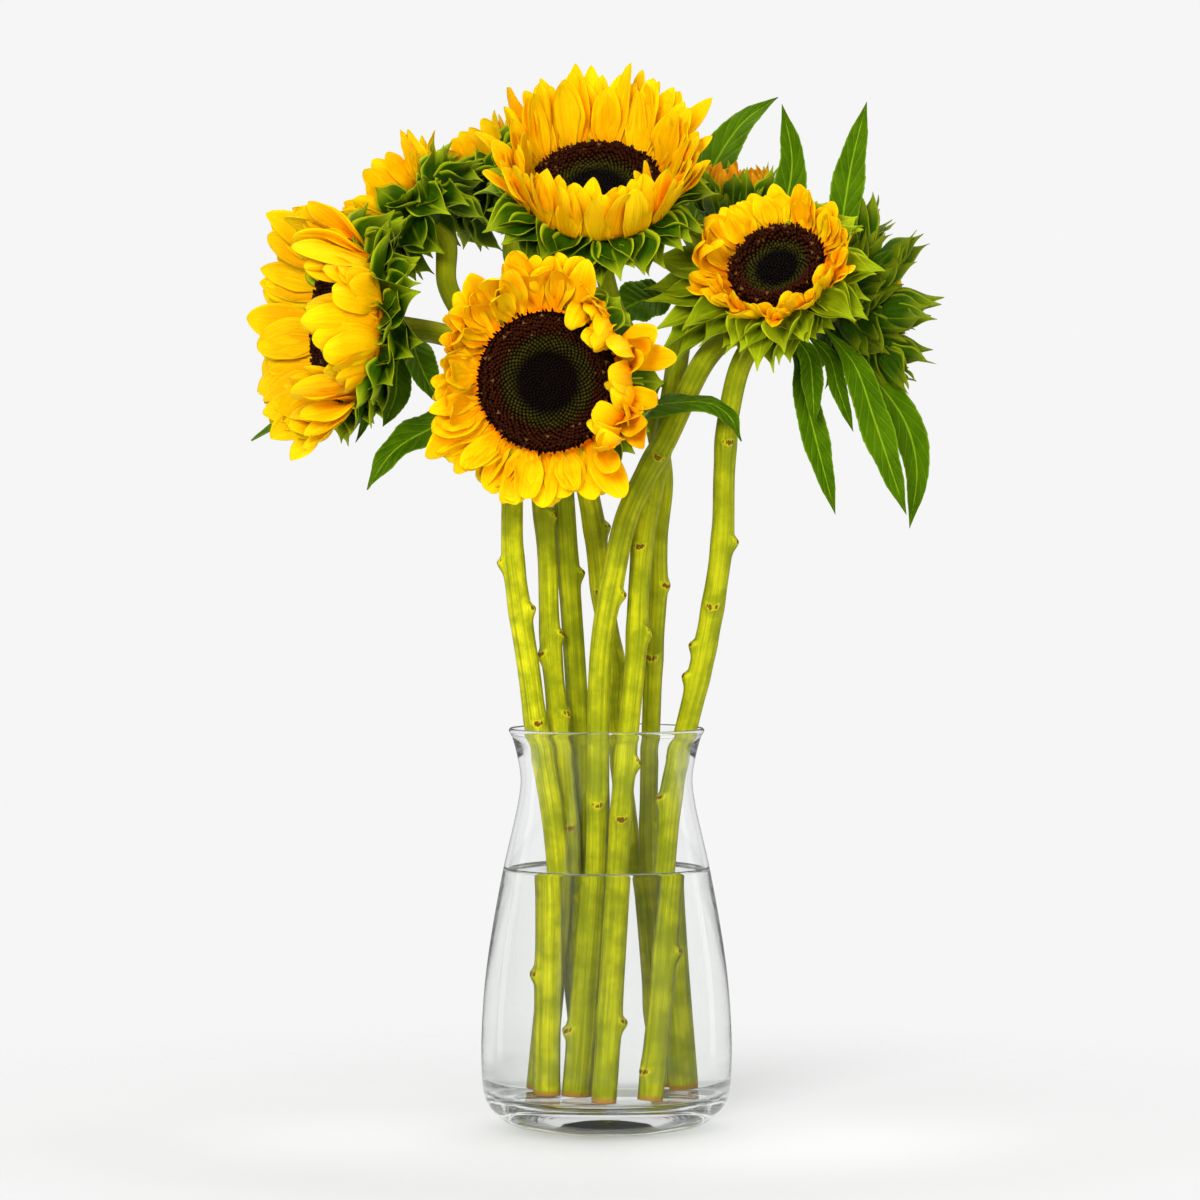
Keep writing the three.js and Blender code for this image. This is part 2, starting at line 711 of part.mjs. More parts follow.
// stem and share: where the leaf springs; out: the way it leaves the stem; points: on along its
// midrib to the tip; face: the way the upper side faces; fold: how far the edges lift.
const LEAVES = {
  leaf_01: {
    stem: 'stem_4', share: 0.755, out: [-0.7, -0.7, 0.2], width: 25, fold: 0.14, face: [-0.3, -0.8, 0.6],
    points: [[-84, -16, 413], [-103, -26, 405], [-122, -35, 393], [-138, -34, 371]],
  },
  leaf_02: {
    stem: 'stem_4', share: 0.965, out: [0.2, -0.9, -0.3], width: 21, fold: 0.2, face: [0.5, -0.8, 0.3],
    points: [[-112, -26, 457], [-106, -32, 440], [-95, -27, 419]],
  },
  leaf_03: {
    stem: 'stem_4', share: 0.972, out: [-0.1, 0.95, -0.4], width: 22, fold: 0.15, face: [-0.3, -0.5, 0.8],
    points: [[-135, 28, 436], [-170, 45, 421], [-210, 50, 400]],
  },
  leaf_04: {
    stem: 'stem_4', share: 0.955, out: [-0.1, 0.3, -0.9], width: 10, fold: 0.2, face: [0.4, -0.9, 0],
    points: [[-126, 4, 437], [-136, 3, 420], [-145, -4, 398]],
  },
  leaf_05: {
    stem: 'stem_4', share: 0.982, out: [0, -0.7, -0.7], width: 17, fold: 0.25, face: [0.3, -0.9, 0],
    points: [[-121, -14, 441], [-122, -15, 425], [-129, -14, 407]],
  },
  leaf_06: {
    stem: 'stem_7', share: 0.955, out: [-0.5, 0.8, 0.2], width: 25, fold: 0.14, face: [-0.3, -0.9, 0.3],
    points: [[52, 86, 522], [58, 100, 550], [80, 108, 588], [103, 112, 606]],
  },
  leaf_07: {
    stem: 'stem_3', share: 0.965, out: [-0.2, 0.5, 0.8], width: 19, fold: 0.15, face: [0.1, -1, 0],
    points: [[98, -2, 500], [103, 10, 530], [108, 17, 562], [102, 12, 595]],
  },
  leaf_08: {
    stem: 'stem_8', share: 0.978, out: [-0.2, -0.3, 0.9], width: 19, fold: 0.15, face: [0, -1, 0],
    points: [[131, -4, 496], [136, -5, 525], [142, 0, 560], [151, 5, 596]],
  },
  leaf_09: {
    stem: 'stem_7', share: 0.775, out: [-0.8, -0.6, 0], width: 19, fold: -0.12, face: [-0.5, -0.5, 0.7],
    points: [[25, -17, 415], [28, -34, 419], [44, -41, 421], [60, -40, 420], [71, -37, 412], [77, -33, 398]],
  },
  leaf_10: {
    stem: 'stem_7', share: 0.895, out: [-0.9, -0.35, -0.2], width: 27, fold: 0.12, face: [0, -0.9, 0.4],
    points: [[33, 36, 484], [18, 30, 480], [0, 26, 470]],
  },
  leaf_11: {
    stem: 'stem_8', share: 0.937, out: [0, 0.2, -0.97], width: 16, fold: 0.25, face: [0, -1, 0],
    points: [[112, 8, 446], [116, 4, 423], [124, 2, 390], [133, 4, 356]],
  },
  leaf_12: {
    stem: 'stem_8', share: 0.95, out: [0, -0.6, -0.8], width: 13, fold: 0.25, face: [0, -1, 0],
    points: [[117, -5, 448], [119, -9, 432], [120, -10, 408]],
  },
  leaf_13: {
    stem: 'stem_8', share: 0.966, out: [0, -0.2, -0.97], width: 10, fold: 0.25, face: [0, -1, 0],
    points: [[129, 0, 448], [134, -4, 430], [143, -3, 404]],
  },
  leaf_14: {
    stem: 'stem_8', share: 0.982, out: [0.2, -0.7, -0.8], width: 19, fold: 0.2, face: [-0.2, -1, 0],
    points: [[143, -14, 443], [154, -20, 412], [164, -21, 382], [173, -17, 356]],
  },
  leaf_15: {
    stem: 'stem_8', share: 0.988, out: [0.3, 0.1, -0.95], width: 19, fold: 0.15, face: [0.1, -1, 0.1],
    points: [[158, -1, 432], [174, 0, 408], [180, 1, 382], [176, 2, 348]],
  },
};

function leafSolid(leaf, curves) {
  const curve = curves[leaf.stem];
  const radius = STEMS[leaf.stem].diameter / 2;
  const { point, along } = axisAt(curve, shareOf(leaf.share));
  const out = vec(leaf.out).addScaledVector(along, -vec(leaf.out).dot(along)).normalize();
  const midrib = [
    point.clone().addScaledVector(out, radius + GAP),
    point.clone().addScaledVector(out, radius + GAP + LEAF.stalk),
  ];
  midrib.push(...leaf.points.map(vec));
  const spine = new THREE.CatmullRomCurve3(midrib, false, 'centripetal');
  const face = vec(leaf.face).normalize();
  const rings = LEAF.stations.map((share, i) => {
    const tangent = share === 0 ? out : spine.getTangentAt(share);
    const side = tangent.clone().cross(face).normalize();
    const normal = side.clone().cross(tangent).normalize();
    const half = (leaf.width * LEAF.widths[i]) / 2;
    const lift = i < LEAF.stalkRings ? 0 : leaf.fold * half;
    const wave = LEAF.wave * LEAF.lifts[i];
    const centre = spine.getPointAt(share);
    const crease = LEAF.thickness / 2;
    return sectionRing(centre, side, normal, half, crease, lift + wave, lift - wave);
  });
  const points = [...rings.flat(), spine.getPointAt(1)];
  return solidFrom(surface(points, [0, 1, 2, 0, 2, 3, ...bladeFaces(0, rings.length)]));
}

// ---------------------------------------------------------------- the arrangement

const bouquet = new THREE.Group();

const vaseProfile = [[0, 0], ...VASE.outer, ...VASE.inner, [0, VASE.floor]];
bouquet.add(namedMesh('vase', solidFrom(lathe(vaseProfile, VASE.segments)), GLASS));

const curves = {};
for (const [name, stem] of Object.entries(STEMS)) {
  curves[name] = stemCurve(stem);
}

const wet = VASE.inner.filter(([, z]) => z < WATER.top - WATER.wallMargin).reverse();
const waterProfile = [[0, VASE.floor + GAP]];
for (const [r, z] of wet) {
  waterProfile.push([r - GAP, z + (z < WATER.flatBelow ? GAP : 0)]);
}
waterProfile.push([WATER.topRadius, WATER.top]);
waterProfile.push([0, WATER.top]);
let water = solidFrom(lathe(waterProfile, VASE.segments));
for (const [name, stem] of Object.entries(STEMS)) {
  water = water.subtract(rodSolid(curves[name], stem.diameter / 2 + STEM.hole));
}
bouquet.add(namedMesh('water', water, WATER_PAINT));

for (const [name, stem] of Object.entries(STEMS)) {
  bouquet.add(namedMesh(name, stemSolid(stem, curves[name]), STEM_GREEN));
  const flower = FLOWERS[stem.head];
  const frame = headFrame(flower);
  const head = new THREE.Group();
  head.position.copy(vec(flower.centre));
  head.quaternion.copy(frame.turn);
  const petalPaint = stem.head === 'flower_7' ? PETAL_ORANGE : PETAL_YELLOW;
  const calyx = calyxSolid(flower, stem.diameter / 2);
  head.add(namedMesh(`${stem.head}_calyx`, calyx, BRACT_GREEN));
  head.add(namedMesh(`${stem.head}_petals`, raySolid(flower), petalPaint));
  head.add(namedMesh(`${stem.head}_disc`, discSolid(flower), DISC_BROWN));
  bouquet.add(head);
}

for (const [name, leaf] of Object.entries(LEAVES)) {
  bouquet.add(namedMesh(name, leafSolid(leaf, curves), LEAF_GREEN));
}

export default bouquet;
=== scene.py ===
"""Eight cut sunflowers in a clear glass vase of water: the finished pieces.

The tables are in millimetres and every mesh is in metres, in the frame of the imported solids: +Z up,
origin at the centre of the flat underside of the vase. A flower head has its own frame: right, top
and the direction that its disc faces, with the underside of the disc at height 0.
"""
import math

import bpy
import numpy as np
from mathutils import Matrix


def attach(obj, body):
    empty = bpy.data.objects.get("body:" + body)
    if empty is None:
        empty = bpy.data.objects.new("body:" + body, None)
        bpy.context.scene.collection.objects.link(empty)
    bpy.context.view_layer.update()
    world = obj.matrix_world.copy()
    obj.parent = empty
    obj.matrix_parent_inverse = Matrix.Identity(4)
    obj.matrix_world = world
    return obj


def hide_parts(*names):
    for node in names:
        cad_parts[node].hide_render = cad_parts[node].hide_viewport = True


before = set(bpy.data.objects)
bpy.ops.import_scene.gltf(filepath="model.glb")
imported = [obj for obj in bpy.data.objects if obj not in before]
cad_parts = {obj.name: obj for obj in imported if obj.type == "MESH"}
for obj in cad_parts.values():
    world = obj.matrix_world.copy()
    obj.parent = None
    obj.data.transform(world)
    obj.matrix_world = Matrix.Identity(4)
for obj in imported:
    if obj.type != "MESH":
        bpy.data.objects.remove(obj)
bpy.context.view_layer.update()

bl_info = {
    "name": "Sunflowers in a Vase",
    "version": (1, 0, 0),
    "blender": (4, 5, 0),
    "location": "3D View > Sidebar > Sunflowers",
    "description": "Builds the glass, water, stalks, leaves and heads of a vase of sunflowers",
    "category": "Add Mesh",
}

MM = 0.001
DEG = math.pi / 180
UP = np.array([0.0, 0.0, 1.0])
BODY = "root"

# ------------------------------------------------------------------ vase and water

# outer wall from the foot to the rim, then the inner wall down to the glass floor: radius, height
VASE_OUTER = [
    (43.5, 0), (56, 2.6), (65.5, 9), (70.8, 18), (72.8, 38), (71.6, 74), (68.4, 103), (60.3, 149),
    (55.1, 172), (51.6, 188), (49.9, 202), (51.6, 215), (54.8, 227), (56.8, 231), (56, 232.6),
]
VASE_INNER = [
    (54.2, 231), (52.2, 227), (49, 215), (47.3, 202), (49, 188), (52.5, 172), (57.7, 149),
    (65.8, 103), (69, 74), (70.1, 46), (67.6, 31), (60, 21), (48, 17),
]
GLASS_FLOOR = 17
WATER_TOP = 150
GLASS_IOR = 1.5
WATER_IOR = 1.33

# ------------------------------------------------------------------ stalks

# diameter; centre line from the foot up; leaf scars: height, direction in degrees (270 faces front)
STALKS = {
    1: (12.4, [
        (23, 38, 18), (15, 31, 150), (9, 24, 202), (4.5, 20, 240), (5.5, 20, 266), (1, 20, 288),
        (-3.5, 18, 316), (-6.5, 14, 344), (-11, 6, 370), (-18, -8, 402), (-26, -36, 426),
    ], [(348, 350), (311, 265), (66, 300)]),
    2: (11, [
        (31, 20, 18), (25, 17, 150), (25, 16, 202), (26, 15, 235), (27.5, 14, 277), (29.5, 12, 310),
        (30, 10, 344), (33, 12, 377), (28, 14, 408), (22, 10, 432), (15, 2, 455), (3, -6, 480),
    ], [(315, 315), (273, 265), (174, 340)]),
    3: (12.6, [
        (21.5, -30, 18), (33, -18, 150), (38.3, -9, 202), (46, -8, 232), (56.5, -12, 277),
        (62.5, -14, 310), (67, -15, 344), (68, -15, 382), (71, -15, 417), (81, -12, 450),
    ], [(398, 275), (341, 350), (303, 265), (280, 190), (262, 190), (191, 215), (104, 350), (36, 240)]),
    4: (12.8, [
        (-27, -5, 18), (-28, -11, 150), (-34, -11, 202), (-41, -10, 236), (-45, -9, 266),
        (-50, -8, 299), (-54.5, -6, 335), (-55, -4, 377), (-58, -4, 405), (-67, -4, 437),
        (-88, -4, 458),
    ], [(330, 190), (301, 340), (235, 280), (89, 200)]),
    5: (11.6, [
        (-26.5, 20, 18), (-21, 4, 150), (-24.5, 3, 202), (-28, 2, 236), (-33, 4, 288),
        (-34.5, 6, 332), (-38, 8, 366), (-44, 11, 405), (-59, 18, 443), (-80, 24, 467),
        (-93, 26, 490),
    ], [(355, 330), (286, 340), (275, 210), (240, 320), (174, 270)]),
    6: (12.8, [
        (-6, 18, 18), (-15, 21, 150), (-15.5, 20, 202), (-16.5, 18, 235), (-19, 16, 277),
        (-22, 15, 321), (-25, 15, 366), (-28, 20, 405), (-36, 38, 448), (-45, 60, 484),
        (-55, 76, 512),
    ], [(322, 350), (130, 300)]),
    7: (12.4, [
        (-1.5, -38, 18), (6, -32, 150), (9.5, -28, 202), (13, -24, 237), (17, -18, 278),
        (18.5, -14, 311), (21.5, -11, 344), (27, -10, 373), (34, -5, 405), (39, 5, 431),
        (44, 22, 461), (55, 46, 494),
    ], [(337, 255), (289, 350), (214, 350), (180, 270), (65, 340)]),
    8: (13, [
        (-14, -10, 18), (-6, -17, 150), (-5, -22, 202), (-4.5, -26, 256), (-2, -27, 289),
        (4, -28, 322), (11.5, -28, 355), (24, -27, 382), (34, -24, 400), (58.5, -8, 448),
        (80, 5, 466), (104, 9, 471),
    ], [(312, 345), (190, 270), (58, 210), (389, 280)]),
}
HEAD_DEPTH = 24  # the green cup hangs this far below the disc
STRAIGHT = 11  # length below the cup in which a stalk already points along the head's axis
END_GAP = 0.65  # clear space below a stalk's foot and between its top and the green cup
STALK_STEP = 1.25  # between the rings of points round a stalk
STALK_SIDES = 44
# rings that close the cut foot of a stalk: share of its radius, how brown they are
CUT_FOOT = ((0.35, 1.0), (0.8, 0.9), (0.97, 0.7))
# a leaf scar's knob: its height, and how far it falls off upwards, downwards and to either side
KNOB_HEIGHT = 2.9
KNOB_ABOVE = 1.7
KNOB_BELOW = 5.0
KNOB_ASIDE = 3.6
SCAR_SWELL = 0.5  # how much further out a stalk stands all round at the height of a scar
SCAR_REACH = 9  # how far that swelling falls off, up and down

# ------------------------------------------------------------------ flower heads

# Angles round a head are degrees anticlockwise seen from its front, 0 to the right and 90 at the top.
# rows, count, length, width, lift, curl: lift is the angle from the plane of the disc, curl what a
# blade gains to its tip. Sectors: from, to, added lift, added curl, length factor.
FLOWERS = {
    1: dict(
        centre=(-33, -95, 432), facing=(-0.1, -0.99, -0.05), disc=40,
        petals=(2, 13, 37, 20, 20, 2), bracts=(1, 14, 31, 17, -6, -10),
        petal_sectors=[(-58, 62, 26, 62, 1.06), (62, 130, 8, 10, 1.04), (150, 200, 10, 8, 0.85),
                       (225, 300, -6, -16, 0.86)],
        bract_sectors=[],
    ),
    2: dict(
        centre=(-5, -27, 543), facing=(0, -0.68, 0.733), disc=37.5,
        petals=(2, 14, 50, 18, 58, 6), bracts=(2, 9, 32, 20, 6, -16),
        petal_sectors=[(215, 325, 26, 8, 0.92), (150, 215, 2, 0, 0.96), (-35, 30, 2, 0, 0.96)],
        bract_sectors=[(210, 330, -9, -2, 1)],
    ),
    3: dict(
        centre=(98, -40, 497), facing=(-0.3, -0.75, 0.55), disc=28.5,
        petals=(2, 11, 25, 12.5, 44, 12), bracts=(2, 10, 31, 15, 14, -18),
        petal_sectors=[(150, 205, -10, 105, 1.25), (60, 140, 8, -8, 1.05), (205, 345, 20, 8, 1)],
        bract_sectors=[(170, 290, -8, 0, 1.22), (150, 230, 12, 4, 1.12), (20, 120, 4, 0, 0.85)],
    ),
    4: dict(
        centre=(-150, -15, 466), facing=(-0.9, -0.4, 0.05), disc=43,
        petals=(2, 12, 47, 24, 50, 2), bracts=(2, 8, 28, 19, 6, -26),
        petal_sectors=[(-67, 67, 22, 12, 1.05), (130, 230, -6, 0, 1)],
        bract_sectors=[(240, 350, 14, 10, 0.9)],
    ),
    5: dict(
        centre=(-120, 36, 539), facing=(-0.72, 0.1, 0.68), disc=21,
        petals=(2, 6, 31, 15, 62, 2), bracts=(2, 6, 28, 16, 34, -12),
        petal_sectors=[], bract_sectors=[],
    ),
    6: dict(
        centre=(-74, 95, 559), facing=(-0.68, 0.2, 0.7), disc=20,
        petals=(2, 5, 28, 15, 60, 2), bracts=(2, 5, 27, 17, 30, -12),
        petal_sectors=[], bract_sectors=[],
    ),
    7: dict(
        centre=(77, 60, 545), facing=(0.05, -0.12, 0.99), disc=14,
        petals=(1, 9, 19, 8, 74, 20), bracts=(2, 6, 27, 13, 52, -4),
        petal_sectors=[], bract_sectors=[],
    ),
    8: dict(
        centre=(154, 15, 479), facing=(0.9, 0.36, 0.14), disc=31,
        petals=(1, 9, 19, 12, 84, 48), bracts=(3, 8, 34, 13, 74, -8),
        petal_sectors=[], bract_sectors=[],
    ),
}
DULL_HEAD = 7  # its few rays are a dull orange: root, body, tip
DULL_RAYS = ((0.6, 0.14, 0.002), (0.9, 0.30, 0.003), (0.95, 0.42, 0.01))
PALE_BRACT_HEAD = 3  # its bracts are a lighter green: face, darker parts
PALE_BRACTS = ((0.31, 0.37, 0.004), (0.09, 0.14, 0.001))
DEEP_HEAD = 8  # its bracts are a deeper green
DEEP_BRACTS = ((0.034, 0.095, 0.0006), (0.008, 0.03, 0.0004))
# How the finished rays of each head add to the rules above: width factor, rows of filler rays,
# how pointed, how unruly, and further sectors
RAY_LOOKS = {
    1: (0.84, 3, 0.42, 1.6, [
        (-50, 48, 22, 44, 1.04), (-30, -13, -24, -76, 0.94), (8, 26, -24, -74, 0.9), (50, 75, 10, 20, 1),
        (95, 200, 8, 30, 1.02), (225, 300, 4, 10, 0.96)]),
    2: (0.84, 3, 0.66, 0.7, [(-35, 35, 6, 0, 0.94), (150, 212, 6, 0, 0.94)]),
    3: (1.0, 2, 0.6, 0.9, [
        (140, 205, 10, 8, 1.3), (186, 205, -24, -70, 0.7), (152, 163, -14, -60, 0.8),
        (20, 140, 4, 6, 1.04)]),
    4: (0.84, 3, 0.62, 0.9, [
        (-62, 62, 3, 12, 1), (-13, 12, 5, 26, 1.1), (17, 33, -14, -20, 0.8), (33, 62, 6, 16, 1.05),
        (-40, -20, -14, -20, 0.8), (-62, -40, 6, 16, 1), (62, 120, 10, 10, 0.95),
        (240, 298, 8, 10, 0.9)]),
    5: (0.9, 2, 0.75, 0.8, []),
    6: (0.9, 2, 0.75, 0.8, []),
    7: (1.0, 2, 0.9, 0.8, [(0, 360, 4, 30, 1.15)]),
    8: (0.9, 0, 0.8, 0.5, [(0, 360, 12, 0, 0.6)]),
}
# sectors in which rays turn their faces about their own middles: from, to, degrees
RAY_TURNS = {4: [(55, 130, 48), (230, 305, -48)]}
# width factor, rows of filler bracts, by how much each of them droops, and further sectors
BRACT_LOOKS = {
    1: (1.3, 1, 0, [(0, 360, -14, 4, 0.8)]),
    2: (1.3, 2, 4, [(210, 330, 10, 18, 0.92), (150, 210, 6, 14, 1), (-30, 30, 6, 14, 1)]),
    3: (1.45, 2, 6, [(215, 320, 6, 16, 0.82), (110, 215, -6, 10, 1.45)]),
    4: (1.5, 2, 8, [(-90, 90, 10, 30, 1.2)]),
    5: (1.45, 3, 30, [(-60, 150, 6, 24, 1.12)]),
    6: (1.45, 3, 26, [(-60, 150, 6, 24, 1.1)]),
    7: (1.2, 2, -6, [(0, 360, 22, 4, 1.05)]),
    8: (1.3, 5, 11, [(0, 360, 2, 14, 1.04)]),
}
BRACT_UNRULY = 0.8
ROW_DRAWS = 211  # how much further on the draws of each row of filler blades start
RING_OUT = 0.8  # the ring that carries the rays stands this far outside the disc
RING_BASE = -5.6
RING_TOP = -0.3
CUP_OUT = 0.3  # the rim of the green cup stands this far outside the disc
CUP_TOP = RING_BASE + RING_TOP
CUP_WALL = 4.2  # height of the cup's upright rim, above the bowl
BOWL_LOW = -20  # height at which the bowl is narrowed to its share of the rim
BOWL_SHARE = 0.56
# per row: seat as a share of the wall that carries the blades, and the angle at which they leave it
PETAL_SEATS = ((0.7, 0), (0.3, 0))
BRACT_SEATS = ((0.5, 0), (0.7, -40), (0.16, -45))
# width of a bract along its middle as a share of the widest
BRACT_STATIONS = (0, 0.12, 0.3, 0.48, 0.62, 0.74, 0.84, 0.92, 1)
BRACT_WIDTHS = (0.62, 0.86, 1, 0.98, 0.78, 0.44, 0.2, 0.09, 0.02)
HAIRS_PER_EDGE = 14
HAIR_LENGTH = 0.8
HAIR_WIDTH = 0.09
CUP_SIDES = 64
DISC_SIDES = 56
# height of a disc's dome at its lowest, and what its band near the rim and its middle add to that
DOME_LOW = 2.6
DOME_BAND = 4.4
DOME_MIDDLE = 1.0
BASE_BELOW = 2.2  # the base under the florets lies this far below the dome
BASE_INSET = 0.6  # and ends this far inside the disc's radius
ROOT_BELOW = 2.4  # the florets' roots lie this far below the dome
ROOT_INSET = 0.5
FLORET_HEIGHT = 2.4
GOLDEN_ANGLE = 137.50776

# ------------------------------------------------------------------ leaves

# stalk, share of its length, way out, width, fold, facing, midrib points on to the tip
LEAVES = {
    1: (4, 0.755, (-0.7, -0.7, 0.2), 25, 0.14, (-0.3, -0.8, 0.6),
        [(-84, -16, 413), (-103, -26, 405), (-122, -35, 393), (-138, -34, 371)]),
    2: (4, 0.965, (0.2, -0.9, -0.3), 21, 0.2, (0.5, -0.8, 0.3),
        [(-112, -26, 457), (-106, -32, 440), (-95, -27, 419)]),
    3: (4, 0.972, (-0.1, 0.95, -0.4), 22, 0.15, (-0.3, -0.5, 0.8),
        [(-135, 28, 436), (-170, 45, 421), (-210, 50, 400)]),
    4: (4, 0.955, (-0.1, 0.3, -0.9), 10, 0.2, (0.4, -0.9, 0),
        [(-126, 4, 437), (-136, 3, 420), (-145, -4, 398)]),
    5: (4, 0.982, (0, -0.7, -0.7), 17, 0.25, (0.3, -0.9, 0),
        [(-121, -14, 441), (-122, -15, 425), (-129, -14, 407)]),
    6: (7, 0.955, (-0.5, 0.8, 0.2), 25, 0.14, (-0.3, -0.9, 0.3),
        [(52, 86, 522), (58, 100, 550), (80, 108, 588), (103, 112, 606)]),
    7: (3, 0.965, (-0.2, 0.5, 0.8), 19, 0.15, (0.1, -1, 0),
        [(98, -2, 500), (103, 10, 530), (108, 17, 562), (102, 12, 595)]),
    8: (8, 0.978, (-0.2, -0.3, 0.9), 19, 0.15, (0, -1, 0),
        [(131, -4, 496), (136, -5, 525), (142, 0, 560), (151, 5, 596)]),
    9: (7, 0.775, (-0.8, -0.6, 0), 19, -0.12, (-0.5, -0.5, 0.7),
        [(25, -17, 415), (28, -34, 419), (44, -41, 421), (60, -40, 420), (71, -37, 412), (77, -33, 398)]),
    10: (7, 0.895, (-0.9, -0.35, -0.2), 27, 0.12, (0, -0.9, 0.4),
         [(33, 36, 484), (18, 30, 480), (0, 26, 470)]),
    11: (8, 0.937, (0, 0.2, -0.97), 16, 0.25, (0, -1, 0),
         [(112, 8, 446), (116, 4, 423), (124, 2, 390), (133, 4, 356)]),
    12: (8, 0.95, (0, -0.6, -0.8), 13, 0.25, (0, -1, 0),
         [(117, -5, 448), (119, -9, 432), (120, -10, 408)]),
    13: (8, 0.966, (0, -0.2, -0.97), 10, 0.25, (0, -1, 0),
         [(129, 0, 448), (134, -4, 430), (143, -3, 404)]),
    14: (8, 0.982, (0.2, -0.7, -0.8), 19, 0.2, (-0.2, -1, 0),
         [(143, -14, 443), (154, -20, 412), (164, -21, 382), (173, -17, 356)]),
    15: (8, 0.988, (0.3, 0.1, -0.95), 19, 0.15, (0.1, -1, 0.1),
         [(158, -1, 432), (174, 0, 408), (180, 1, 382), (176, 2, 348)]),
}
# width of a leaf along its midrib as a share of the widest, and how its edges wave up and down
LEAF_STATIONS = (0, 0.08, 0.2, 0.34, 0.48, 0.61, 0.73, 0.84, 0.93, 1)
LEAF_WIDTHS = (0.15, 0.13, 0.46, 0.86, 0.94, 1, 0.76, 0.56, 0.24, 0)
LEAF_LIFTS = (0, 0, 1, -1, 1, -1, 1, -1, 0, 0)
LEAF_RINGS = 100
LEAF_SIDES = 40
TEETH = 18  # to a side of a leaf
SIDE_VEINS = 11
VEIN_SLANT = 2.0
LEAF_FOOT = (-0.6, 3.8)  # a midrib's first two points on its way out, from the skin of its stalk
EDGE_WAVE = 0.9  # how far the edges wave up and down
PUFF = 0.45  # how far the blade rises between its side veins
GROOVE_DEPTH = 0.7
GROOVE_WIDTH = 0.8
RIB_AT_TIP = 0.6
RIB_GAIN = 1.5  # how much deeper the rib is at its root
RIB_WIDTH = 0.9

# ------------------------------------------------------------------ stage, in metres

# name, place, the point that it faces, size of its side, watts
LIGHTS = (
    ("Key Light", (-0.9, -3.0, 1.5), (0, 0, 0.35), 1.1, 96),
    ("Fill Light", (1.0, -3.0, 0.3), (0, 0, 0.4), 1.4, 46),
    ("Top Light", (0.2, 0.8, 2.6), (0, 0, 0.35), 1.6, 36),
)
FLOOR_RADIUS = 2.6
FLOOR_DROP = 0.0002
FLOOR_FADE = (0.2, 0.62)  # distances from the vase's axis at which the floor starts and ends to fade
BOUNCES = 64  # light crosses many walls of glass and water on its way to the thick base

# ------------------------------------------------------------------ arithmetic of shapes


def unit(vectors):
    """Vectors divided by their lengths."""
    return vectors / np.linalg.norm(vectors, axis=-1, keepdims=True)


def spread(item, series):
    """A repeatable draw between -1 and 1: twice the fraction of a large sine, less one."""
    value = np.sin(item * 12.9898 + series * 78.233) * 43758.5453
    return 2 * (value - np.floor(value)) - 1


def circle(sides):
    """Even steps of angle once round."""
    return np.arange(sides) * 2 * math.pi / sides


def outward(angles):
    """Level unit vectors at these angles."""
    return np.stack([np.cos(angles), np.sin(angles), 0 * angles], -1)


def quarter_turned(level):
    """Level vectors turned a quarter turn anticlockwise."""
    return np.stack([-level[..., 1], level[..., 0], level[..., 2]], -1)


def in_sector(degrees, low, high):
    """Whether angles lie between low and high, which may be on either side of 0."""
    return (degrees - low) % 360 < high - low


def soft_step(x, low, high):
    """0 below low, 1 above high, and t*t*(3-2t) between."""
    t = np.clip((x - low) / (high - low), 0, 1)
    return t * t * (3 - 2 * t)


def smooth_line(points, samples=40):
    """Points on a smooth curve through the given points: each span is the cubic whose end slopes come
    from its four nearest points, with knots as far apart as the root of the distance."""
    p = np.asarray(points, float)
    p = np.vstack([2 * p[0] - p[1], p, 2 * p[-1] - p[-2]])
    knot = np.sqrt(np.linalg.norm(np.diff(p, axis=0), axis=1))[:, None]
    d0, d1, d2 = knot[:-2], knot[1:-1], knot[2:]
    a, b, c, d = p[:-3], p[1:-2], p[2:-1], p[3:]
    slope_b = ((b - a) / d0 - (c - a) / (d0 + d1) + (c - b) / d1) * d1
    slope_c = ((c - b) / d1 - (d - b) / (d1 + d2) + (d - c) / d2) * d1
    t = np.linspace(0, 1, samples, endpoint=False)[None, :, None]
    b, c, slope_b, slope_c = (x[:, None] for x in (b, c, slope_b, slope_c))
    cubic = b + slope_b * t + (3 * (c - b) - 2 * slope_b - slope_c) * t**2
    cubic = cubic + (2 * (b - c) + slope_b + slope_c) * t**3
    return np.vstack([cubic.reshape(-1, p.shape[1]), p[-2]])


def walk(line, shares):
    """Points and unit tangents of a line at shares of its length. A tangent is the way between the
    points just before and just after."""
    way = np.concatenate([[0], np.cumsum(np.linalg.norm(np.diff(line, axis=0), axis=1))])
    way = way / way[-1]
    near = 0.004

    def at(share):
        return np.stack([np.interp(share, way, line[:, k]) for k in range(3)], -1)

    ahead, behind = at(np.minimum(shares + near, 1)), at(np.maximum(shares - near, 0))
    return at(shares), unit(ahead - behind)


def curve_value(x, stations, values):
    """The smooth curve through (station, value) pairs, read at x."""
    line = smooth_line(np.stack([stations, values], -1))
    return np.interp(x, line[:, 0], line[:, 1])


def tube_faces(rings, sides, copies):
    """Quads between neighbouring rings and a fan to the pole at each end, for tubes whose vertices
    run: first pole, rings one after another, last pole."""
    per = rings * sides + 2
    ring = np.arange(rings - 1)[:, None]
    side = np.arange(sides)[None, :]
    a = 1 + ring * sides + side
    b = 1 + ring * sides + (side + 1) % sides
    quads = np.stack([a, b, b + sides, a + sides], -1).reshape(-1, 4)
    side = side[0]
    last = 1 + (rings - 1) * sides
    foot = np.stack([np.zeros_like(side), 1 + (side + 1) % sides, 1 + side], -1)
    top = np.stack([np.full_like(side, per - 1), last + side, last + (side + 1) % sides], -1)
    shift = (np.arange(copies) * per)[:, None, None]
    quads = (quads[None] + shift).reshape(-1, 4)
    return quads, (np.concatenate([foot, top])[None] + shift).reshape(-1, 3)


